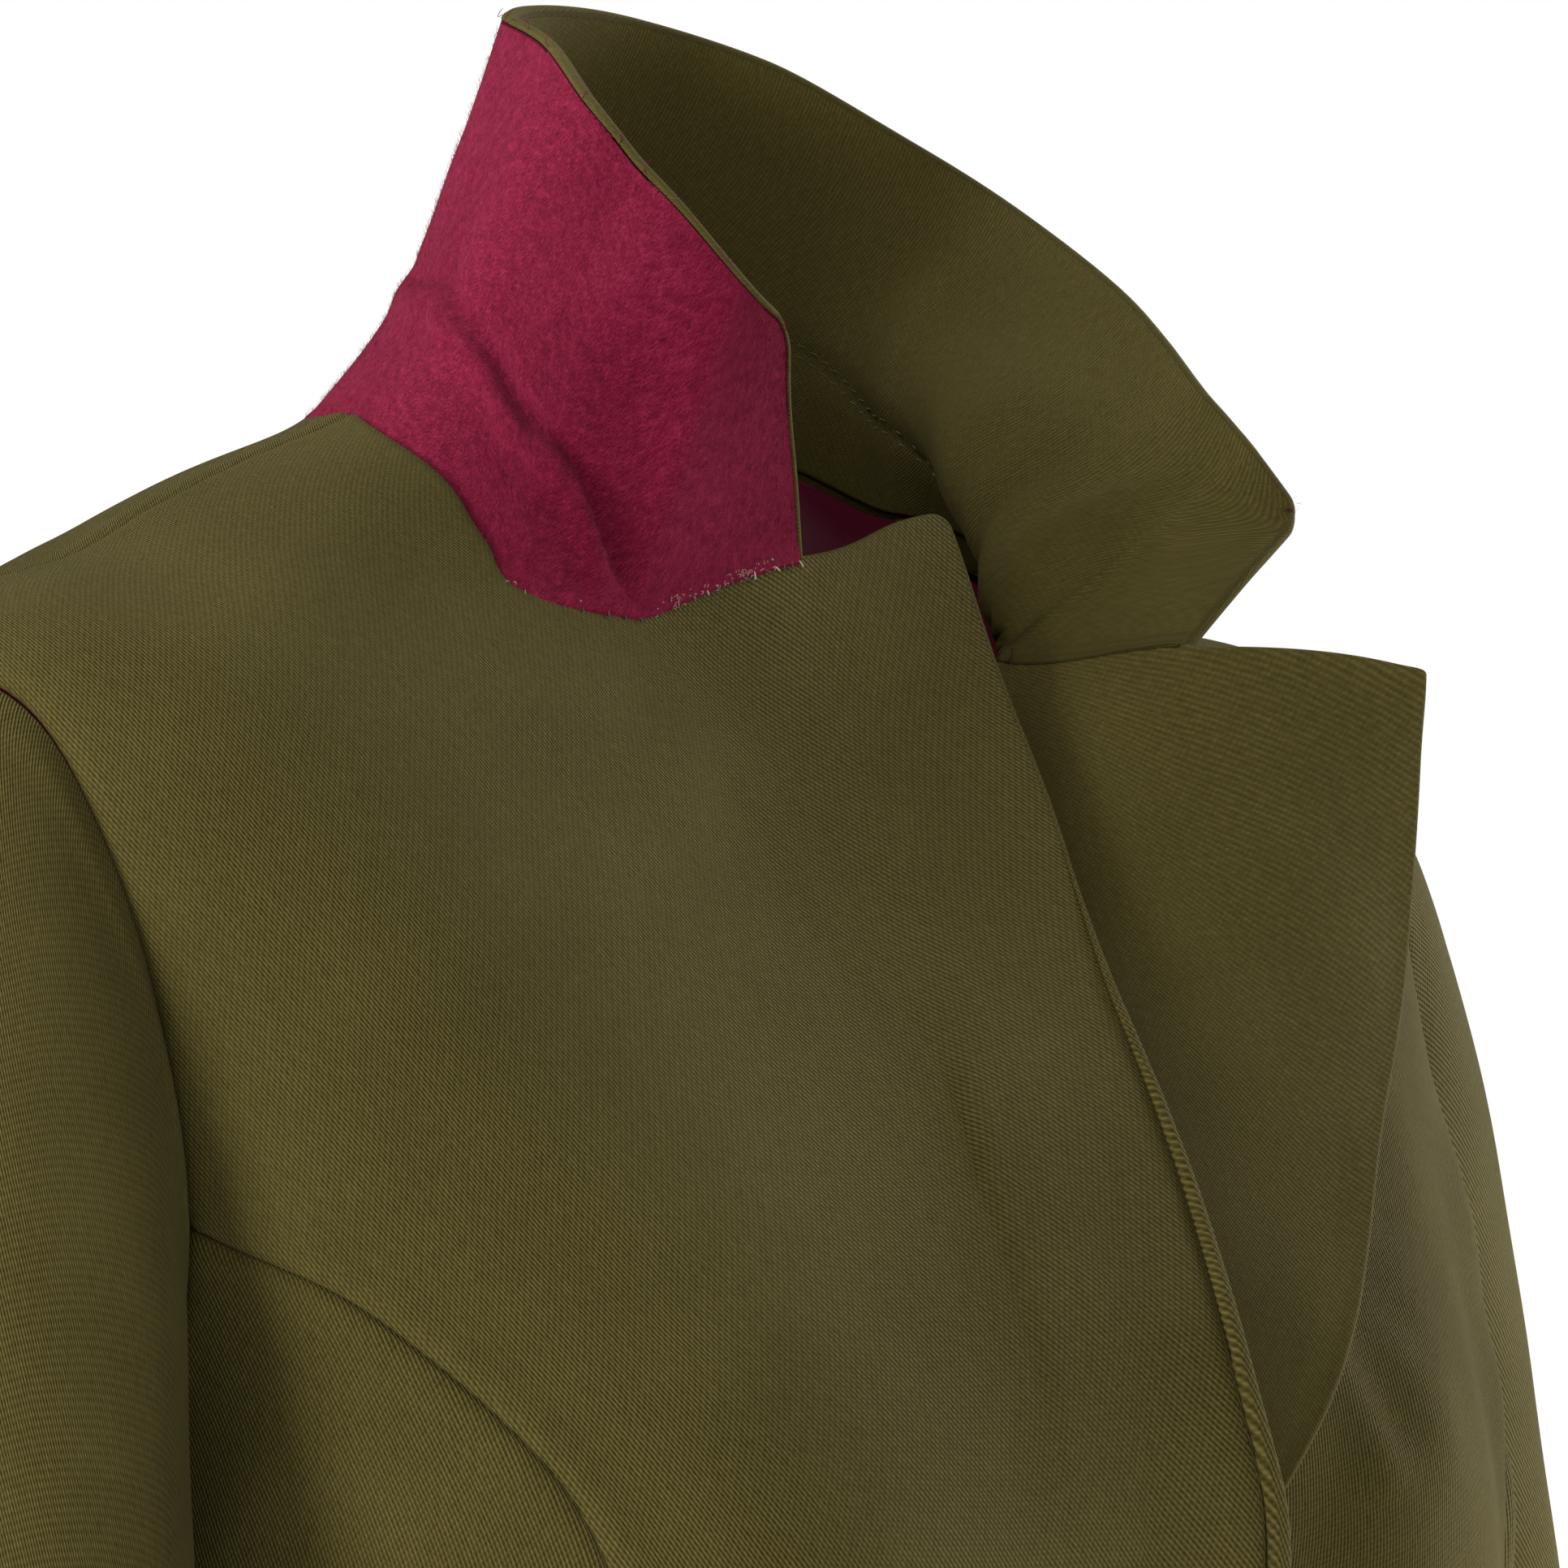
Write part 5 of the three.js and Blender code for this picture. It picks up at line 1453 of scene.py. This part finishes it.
def sleeve_part(side, arm, drop, first, last, columns, rows):
    """A strip of the sleeve between two of its seams. Relief = slow waves + creases + seam
    valleys, fading to nothing at the armhole, and a soft bell 6 mm from it."""
    at, v = np.meshgrid(first + (last - first) * crowded(columns, 0.75, 0.75),
                        crowded(rows, 0.8, 0.75))
    down = v * (ARM_END - 0.018)
    p = sleeve_surface(side, arm, drop, at, down)
    n = unit(np.cross(np.gradient(p, axis=1), np.gradient(p, axis=0)))
    axis = np.stack([0 * at + side * 200, 0 * at + arm[0][2] - 20 * down, p[..., 2]], -1)
    n *= np.sign(np.sum(n * (p - axis)))
    draw = lambda a, d: sleeve_surface(side, arm, drop, a, d)
    t = SEAM_STEPS
    rise = 0.5 * uneven(p, 17.0) + creases(p, draw, SLEEVE_CREASES)
    for seam in (draw(SLEEVE_FRONT + 0 * t, ARM_END * t), draw(SLEEVE_BACK + 0 * t, ARM_END * t)):
        rise += seam_valley(away_from(p, seam)[0], 0.9, 1.5)
    left, _, low, high = border_ways(p)
    rise *= smooth(low / 5)
    rise += 0.5 * np.exp(-((low - 6) / 3.5) ** 2)
    cuff = turned_edge(high + EDGE_IN, CUFF_BAND)
    spread = (at - (first + last) / 2) / (last - first)
    size = wales(spread * left[60, -1], -low - 8 * spread ** 2, (2.7 * side, 2.7 * side), (0, 1))
    return [patch(p + n * rise[..., None], n, size, cuff, rolls(at.shape, "top"))]


for side_name, side, arm, drop in (("right", -1, RIGHT_ARM, 0), ("left", 1, LEFT_ARM, LEFT_DROP)):
    for part, first, last, columns, flat, area in (
            ("upper_sleeve", SLEEVE_BACK, ROUND + SLEEVE_FRONT, 84, (0.25, 0.62), 0.092),
            ("under_sleeve", SLEEVE_FRONT, SLEEVE_BACK, 46, (0.13, 0.44), 0.0352)):
        name = side_name + "_" + part
        cloth(name + "_cloth", sleeve_part(side, arm, drop, first, last, columns, 170), TWILL,
              nodes=[name])

# %% [markdown]
# ## Thread, nap and buttons
#
# The lower edge of the felt is sewn down by hand with tiny slanting stitches. Inside, two
# rows of machine stitches hold the seam between stand and fall. Felt sheds short hairs,
# which show best against the light. Each stitch or hair is a thin closed tube: a few rings
# round a short path, with a point at each end.

# %% Tubes
rng = np.random.default_rng(7)


def ring_faces(steps, sides):
    """Triangles between `steps` rings of points and over their two ends. The points in the
    middle of the ends come last, first the one of the first ring."""
    i, j = np.meshgrid(np.arange(steps - 1), np.arange(sides), indexing="ij")
    k = (j + 1) % sides
    p, q, s, t = i * sides + j, i * sides + k, (i + 1) * sides + k, (i + 1) * sides + j
    j, k = np.arange(sides), (np.arange(sides) + 1) % sides
    last, ends = (steps - 1) * sides, steps * sides
    return np.concatenate([
        np.stack([p, q, s], -1).reshape(-1, 3), np.stack([p, s, t], -1).reshape(-1, 3),
        np.stack([k, j, 0 * j + ends], -1), np.stack([last + j, last + k, 0 * j + ends + 1], -1)])


def tubes(paths, radius, sides=6, thin=0.35):
    """Closed tubes along many paths of the same number of points. Each ring is
    path + r (side cos a + up sin a); the end rings are thinner and close on a point."""
    count, steps = paths.shape[:2]
    way = unit(np.gradient(paths, axis=1))
    steady = unit(np.cross(way[:, steps // 2], rng.normal(size=(count, 3))))[:, None]
    up = unit(steady - way * np.sum(steady * way, -1, keepdims=True))
    side = np.cross(way, up)
    r = np.full((count, steps), float(radius))
    r[:, 0] *= thin
    r[:, -1] *= thin
    a = 2 * np.pi * np.arange(sides) / sides
    ring = side[:, :, None] * np.cos(a)[:, None] + up[:, :, None] * np.sin(a)[:, None]
    skin = paths[:, :, None] + ring * r[:, :, None, None]
    start, end = paths[:, 0] - way[:, 0] * r[:, :1], paths[:, -1] + way[:, -1] * r[:, -1:]
    points = np.concatenate([skin.reshape(count, -1, 3), start[:, None], end[:, None]], 1)
    each = steps * sides + 2
    faces = ring_faces(steps, sides)[None] + each * np.arange(count)[:, None, None]
    length = np.linalg.norm(np.diff(paths, axis=1), axis=-1)
    length = np.pad(np.cumsum(length, 1), ((0, 0), (1, 0)))
    round_it = np.broadcast_to(a * 0.15, (count, steps, sides))
    along = np.broadcast_to(length[:, :, None], round_it.shape)
    size = np.stack([round_it, along], -1).reshape(count, -1, 2)
    size = np.concatenate([size, size[:, :1], size[:, -1:]], 1)
    return points.reshape(-1, 3), faces.reshape(-1, 3), size.reshape(-1, 2)


def collar_frame(at, w):
    """A point of the collar with its direction along the seam, up the section, and out,
    away from the middle of the neck."""
    p = collar_surface(at, w)[0]
    along = unit(collar_surface(at + 0.02, w)[0] - collar_surface(at - 0.02, w)[0])
    climb = unit(collar_surface(at, w + 0.01)[0] - collar_surface(at, w - 0.01)[0])
    out = unit(np.cross(climb, along))
    sign = np.where(np.sum(out * (p - (0.0, -10.0, 0.0)), -1) < 0, -1.0, 1.0)
    return p, along, climb, out * sign[..., None]


# %% Stitches
def short_stitches(at, w, lift, slant, length, radius, material, name, slot):
    """Small arches of thread on the collar: each goes in, over the cloth and down again,
    turned by `slant` from the line of the seam. Height = 1.3 r (1 − t²) − r / 2, with t from
    −1 to 1 along the stitch; a radius below 0 turns the arch to the inside."""
    p, along, climb, out = collar_frame(at, w)
    t = np.linspace(-1, 1, 7)[None, :, None]
    way = along * np.cos(slant)[:, None] + climb * np.sin(slant)[:, None]
    arch = (1 - t ** 2) * 1.3 * radius - 0.5 * radius
    middle = p + out * lift[:, None]
    paths = middle[:, None] + way[:, None] * t * length[:, None, None] / 2 + out[:, None] * arch
    mesh_piece(name, *tubes(paths, radius), material, slot)
    print(name, len(at), "stitches")


def felt_lift(at, w):
    """How far the outer face of the felt stands off the collar's own surface."""
    p, stand, whole = collar_surface(at, w)
    return felt_middle(p, at / NOTCH_TO_NOTCH, w, stand, whole) + 0.68


def whole_at(at):
    """The length of each section from the seam to the edge."""
    return collar_surface(at, 0 * at)[2]


# Felling stitches along the lower edge of the felt: most are dark, and the rest are pale.
at = np.concatenate([np.linspace(0.15, 3, 14), np.linspace(3.15, 8, 32),
                     np.linspace(8.2, 19.6, 60)])
at = at + rng.uniform(-0.05, 0.05, len(at))
w = (-1.2 + rng.uniform(-0.15, 0.15, len(at))) / whole_at(at)
slant = rng.normal(1.15, 0.3, len(at))
long = rng.uniform(1.5, 2.3, len(at))
dark = rng.random(len(at)) < 0.72
lift = felt_lift(at, w) - 0.02
for chosen, material, name in ((dark, DARK_THREAD, "felling_dark"),
                               (~dark, PALE_THREAD, "felling_pale")):
    short_stitches(at[chosen], w[chosen], lift[chosen], slant[chosen], long[chosen], 0.14,
                   material, name, "felt")

# Two rows on the inside of the stand, at these distances from the crease in mm.
at = np.linspace(4.3, 21.5, 112)
p, stand, whole = collar_surface(at, 0 * at)
for row, offset in (("lower", -5.3), ("upper", -2.7)):
    w = (stand + offset) / whole
    q = collar_surface(at, w)[0]
    inner = collar_waves(q, at / NOTCH_TO_NOTCH, w, stand, whole) - 1.62
    inner = inner + 0.6 * stitch_groove(w * whole, stand)
    short_stitches(at, w, inner + 0.02, 0 * at, 0 * at + 1.9, -0.13, OLIVE_THREAD,
                   "stand_stitches_" + row, "twill")


# %% Loose threads at the gorge and along the rim
def loose_threads(at, w, lift, length, curl, radius, material, name):
    """Threads that leave the collar and curl. At the share t of a thread its bend has
    turned by curl · t, and it stands off by sin(2.6 t) of a third of its length."""
    p, along, climb, out = collar_frame(at, w)
    t = np.linspace(0, 1, 12)[None, :, None]
    spin = rng.uniform(0, 2 * np.pi, (len(at), 1, 1)) + curl * t
    bend = along[:, None] * np.cos(spin) + climb[:, None] * np.sin(spin)
    length = np.asarray(length)[:, None, None]
    start = (p + out * lift[:, None])[:, None]
    off = out[:, None] * length * 0.35 * np.sin(2.6 * t)
    mesh_piece(name, *tubes(start + bend * t * length * 0.5 + off, radius, 5), material, "felt")


at = np.concatenate([rng.uniform(0.9, 2.9, 60), rng.uniform(3.3, 7.6, 14)])
w = rng.uniform(-1.4, 1.6, len(at)) / whole_at(at)
loose_threads(at, w, felt_lift(at, w) - 0.05, rng.uniform(0.5, 1.8, len(at)), 2.2, 0.04,
              PALE_THREAD, "gorge_threads")
at = np.array([3.35, 4.6, 5.3, 6.1, 6.9, 7.6, 8.0, 8.5])
w = 1 - 0.6 / whole_at(at)
loose_threads(at, w, 0 * at + 0.8, rng.uniform(2.6, 6.5, len(at)), 5.0, 0.07, FELT,
              "rim_threads")


# %% Nap of the felt
HAIR_RADIUS = 0.026


def nap(count):
    """Short hairs all over the felt, leaning every way but mostly along the collar's
    height, each one a slim spindle: a root, a triangle round its middle, and a tip."""
    at = rng.uniform(0.2, 26.6, count * 2)
    keep = rng.random(count * 2) < np.where(at < 10, 1.0, 0.32)
    at = at[keep][:count]
    w = rng.uniform(0.0, 0.965, len(at))
    p, along, climb, out = collar_frame(at, w)
    lean = rng.uniform(0.12, 0.75, len(at))[:, None]
    spin = rng.normal(1.45, 0.75, len(at))[:, None]
    flat = along * np.cos(spin) + climb * np.sin(spin)
    way = flat * np.cos(lean) + out * np.sin(lean)
    length = rng.uniform(0.8, 2.3, len(at))[:, None]
    root = p + out * (felt_lift(at, w) - 0.08)[:, None]
    middle = root + way * length * 0.5
    tip = root + way * length - out * length * 0.12
    a = unit(np.cross(way, out))
    b = np.cross(way, a)
    ring = [middle + (a * np.cos(k) + b * np.sin(k)) * HAIR_RADIUS for k in (0, 2.094, 4.189)]
    points = np.stack([root, *ring, tip], 1).reshape(-1, 3)
    one = np.array([(0, 2, 1), (0, 3, 2), (0, 1, 3), (4, 1, 2), (4, 2, 3), (4, 3, 1)])
    faces = (one[None] + 5 * np.arange(len(at))[:, None, None]).reshape(-1, 3)
    inside = np.sum(np.cross(ring[1] - root, ring[0] - root) * (ring[2] - root))
    if inside > 0:
        faces = faces[:, ::-1]
    sizes = np.tile(np.array([(0, 0), (0, 1), (0.1, 1), (0.2, 1), (0, 2)], float), (len(at), 1))
    mesh_piece("felt_nap", points, faces, sizes, FELT, "felt")
    print("nap", len(at), "hairs")


nap(12000)


# %% Buttons
BUTTON_LEVELS = {"upper": 3.82, "lower": 2.62}
BUTTON_RADIUS, HOLE_AWAY = 10.0, 2.1
BUTTON_SIDE = [(9.75, 2.85), (9.95, 2.4), (BUTTON_RADIUS, 1.6), (9.9, 0.7), (9.6, 0.2),
               (9.0, 0.0), (6.0, 0.0), (3.0, 0.0), (0.02, 0.0)]     # radius, height
COIL_TURNS = 7


def lap_lift(angle):
    """The right front climbs over the left one: 0 at its fold (−10°) and 2.6 mm at its edge
    (9.6°)."""
    return 2.6 * (angle + 10) / 19.6


def on_lap(angle, level):
    """A point on the lap of the right front."""
    return lay(np.array(float(angle)), np.array(float(level)), lap_lift(angle))


def button_disc():
    """A round disc with a raised rim and four drilled holes, made as rings of points round
    its middle. Height = 2.5 + rim − dish, less a pit of 1.7 mm at each hole."""
    r, a = np.meshgrid(np.concatenate([np.linspace(0.02, 4.4, 40), np.linspace(4.7, 9.4, 22)]),
                       2 * np.pi * np.arange(96) / 96, indexing="ij")
    x, y = r * np.cos(a), r * np.sin(a)
    top = 2.5 + 0.55 * smooth((r - 6.4) / 1.4) - 0.25 * smooth((5 - r) / 4)
    for i, j in ((1, 1), (-1, 1), (-1, -1), (1, -1)):
        away = np.hypot(x - i * HOLE_AWAY, y - j * HOLE_AWAY)
        top = top - 1.7 * (1 - smooth((away - 0.75) / 0.4))
    reach, high = (row[:, None] for row in np.array(BUTTON_SIDE).T)
    side = np.stack([reach * np.cos(a[:1]), reach * np.sin(a[:1]), high + 0 * a[:1]], -1)
    grid = np.concatenate([np.stack([x, y, top], -1), side])
    points = np.concatenate([grid.reshape(-1, 3), [(0, 0, top[0, 0]), (0, 0, 0)]])
    return points, ring_faces(*grid.shape[:2])[:, [0, 2, 1]]


def button(name, level, node):
    """The disc, four strands of thread through its holes, and a coil of thread under it."""
    across = on_lap(4, level) - on_lap(-4, level)
    up = on_lap(0, level + 0.12) - on_lap(0, level - 0.12)
    out = unit(np.cross(across, up))
    across = unit(across - out * np.sum(across * out))
    up = np.cross(out, across)
    seat = on_lap(0, level) + out * (0.8 + 1.1)
    flat, faces = button_disc()
    points = seat + flat[:, :1] * across + flat[:, 1:2] * up + flat[:, 2:] * out
    mesh_piece(name, points, faces, flat[:, :2], HORN, "button", [node])
    t = np.linspace(-1, 1, 13)[:, None]
    strands = [seat + (across * t * 2.3 + up * (row * HOLE_AWAY + shift)
                       + out * (2.55 - 1.0 * t ** 6))
               for row in (-1, 1) for shift in (-0.24, 0.24)]
    mesh_piece(name + "_thread", *tubes(np.stack(strands), 0.24, 8, 0.7), OLIVE_THREAD, "button")
    share = np.linspace(0, 1, 130)[:, None]
    turn = 2 * np.pi * COIL_TURNS * share
    coil = seat - out * (1.0 - share) + (across * np.cos(turn) + up * np.sin(turn)) * 1.3
    mesh_piece(name + "_shank", *tubes(coil[None], 0.2, 8, 0.7), OLIVE_THREAD, "button")


for place, level in BUTTON_LEVELS.items():
    button(place + "_horn_button", level, place + "_button")


# %% Buttonholes
HOLE_LENGTH, HOLE_START = 21, -17       # mm along the lap
DEGREES_PER_MM = 0.5


def buttonhole(name, level):
    """A slot bound by close stitches: 26 up one side and 26 back down the other, each one a
    short arch across the edge of the slot."""
    run = np.arange(52) / 25.5
    at = (np.where(run < 1, run, 2 - run) * HOLE_LENGTH + HOLE_START) * DEGREES_PER_MM
    sideways = np.where(run < 1, 1, -1) * 0.9
    base = lay(at, level + sideways / FIRST_STEP, lap_lift(at) + 0.72)
    up = unit(lay(at, level + 0.02, lap_lift(at)) - lay(at, level - 0.02, lap_lift(at)))
    out = outward(at, 0 * at + level)
    s = np.linspace(-1, 1, 7)[None, :, None]
    paths = base[:, None] + up[:, None] * s * 0.75 + out[:, None] * (0.22 - 0.3 * s ** 2)
    mesh_piece(name, *tubes(paths, 0.3, 6, 0.6), OLIVE_THREAD, "twill")


for place, level in BUTTON_LEVELS.items():
    buttonhole(place + "_buttonhole", level)


# %% [markdown]
# ## The floor
#
# The jacket hangs above a plain pale floor.

# %% Floor
FLOOR_HEIGHT, FLOOR_HALF = -1.25, 30
white = Finish("floor_white", Base_Color=(0.9, 0.9, 0.9, 1), Roughness=0.8,
               Emission_Color=(1, 1, 1, 1), Emission_Strength=0.85)
floor = bpy.data.meshes.new("floor")
floor.from_pydata([(x * FLOOR_HALF, y * FLOOR_HALF, FLOOR_HEIGHT)
                   for x, y in ((-1, -1), (1, -1), (1, 1), (-1, 1))], [], [(0, 1, 2, 3)])
floor.materials.append(white.material)
ground = bpy.data.objects.new("floor", floor)
bpy.context.collection.objects.link(ground)
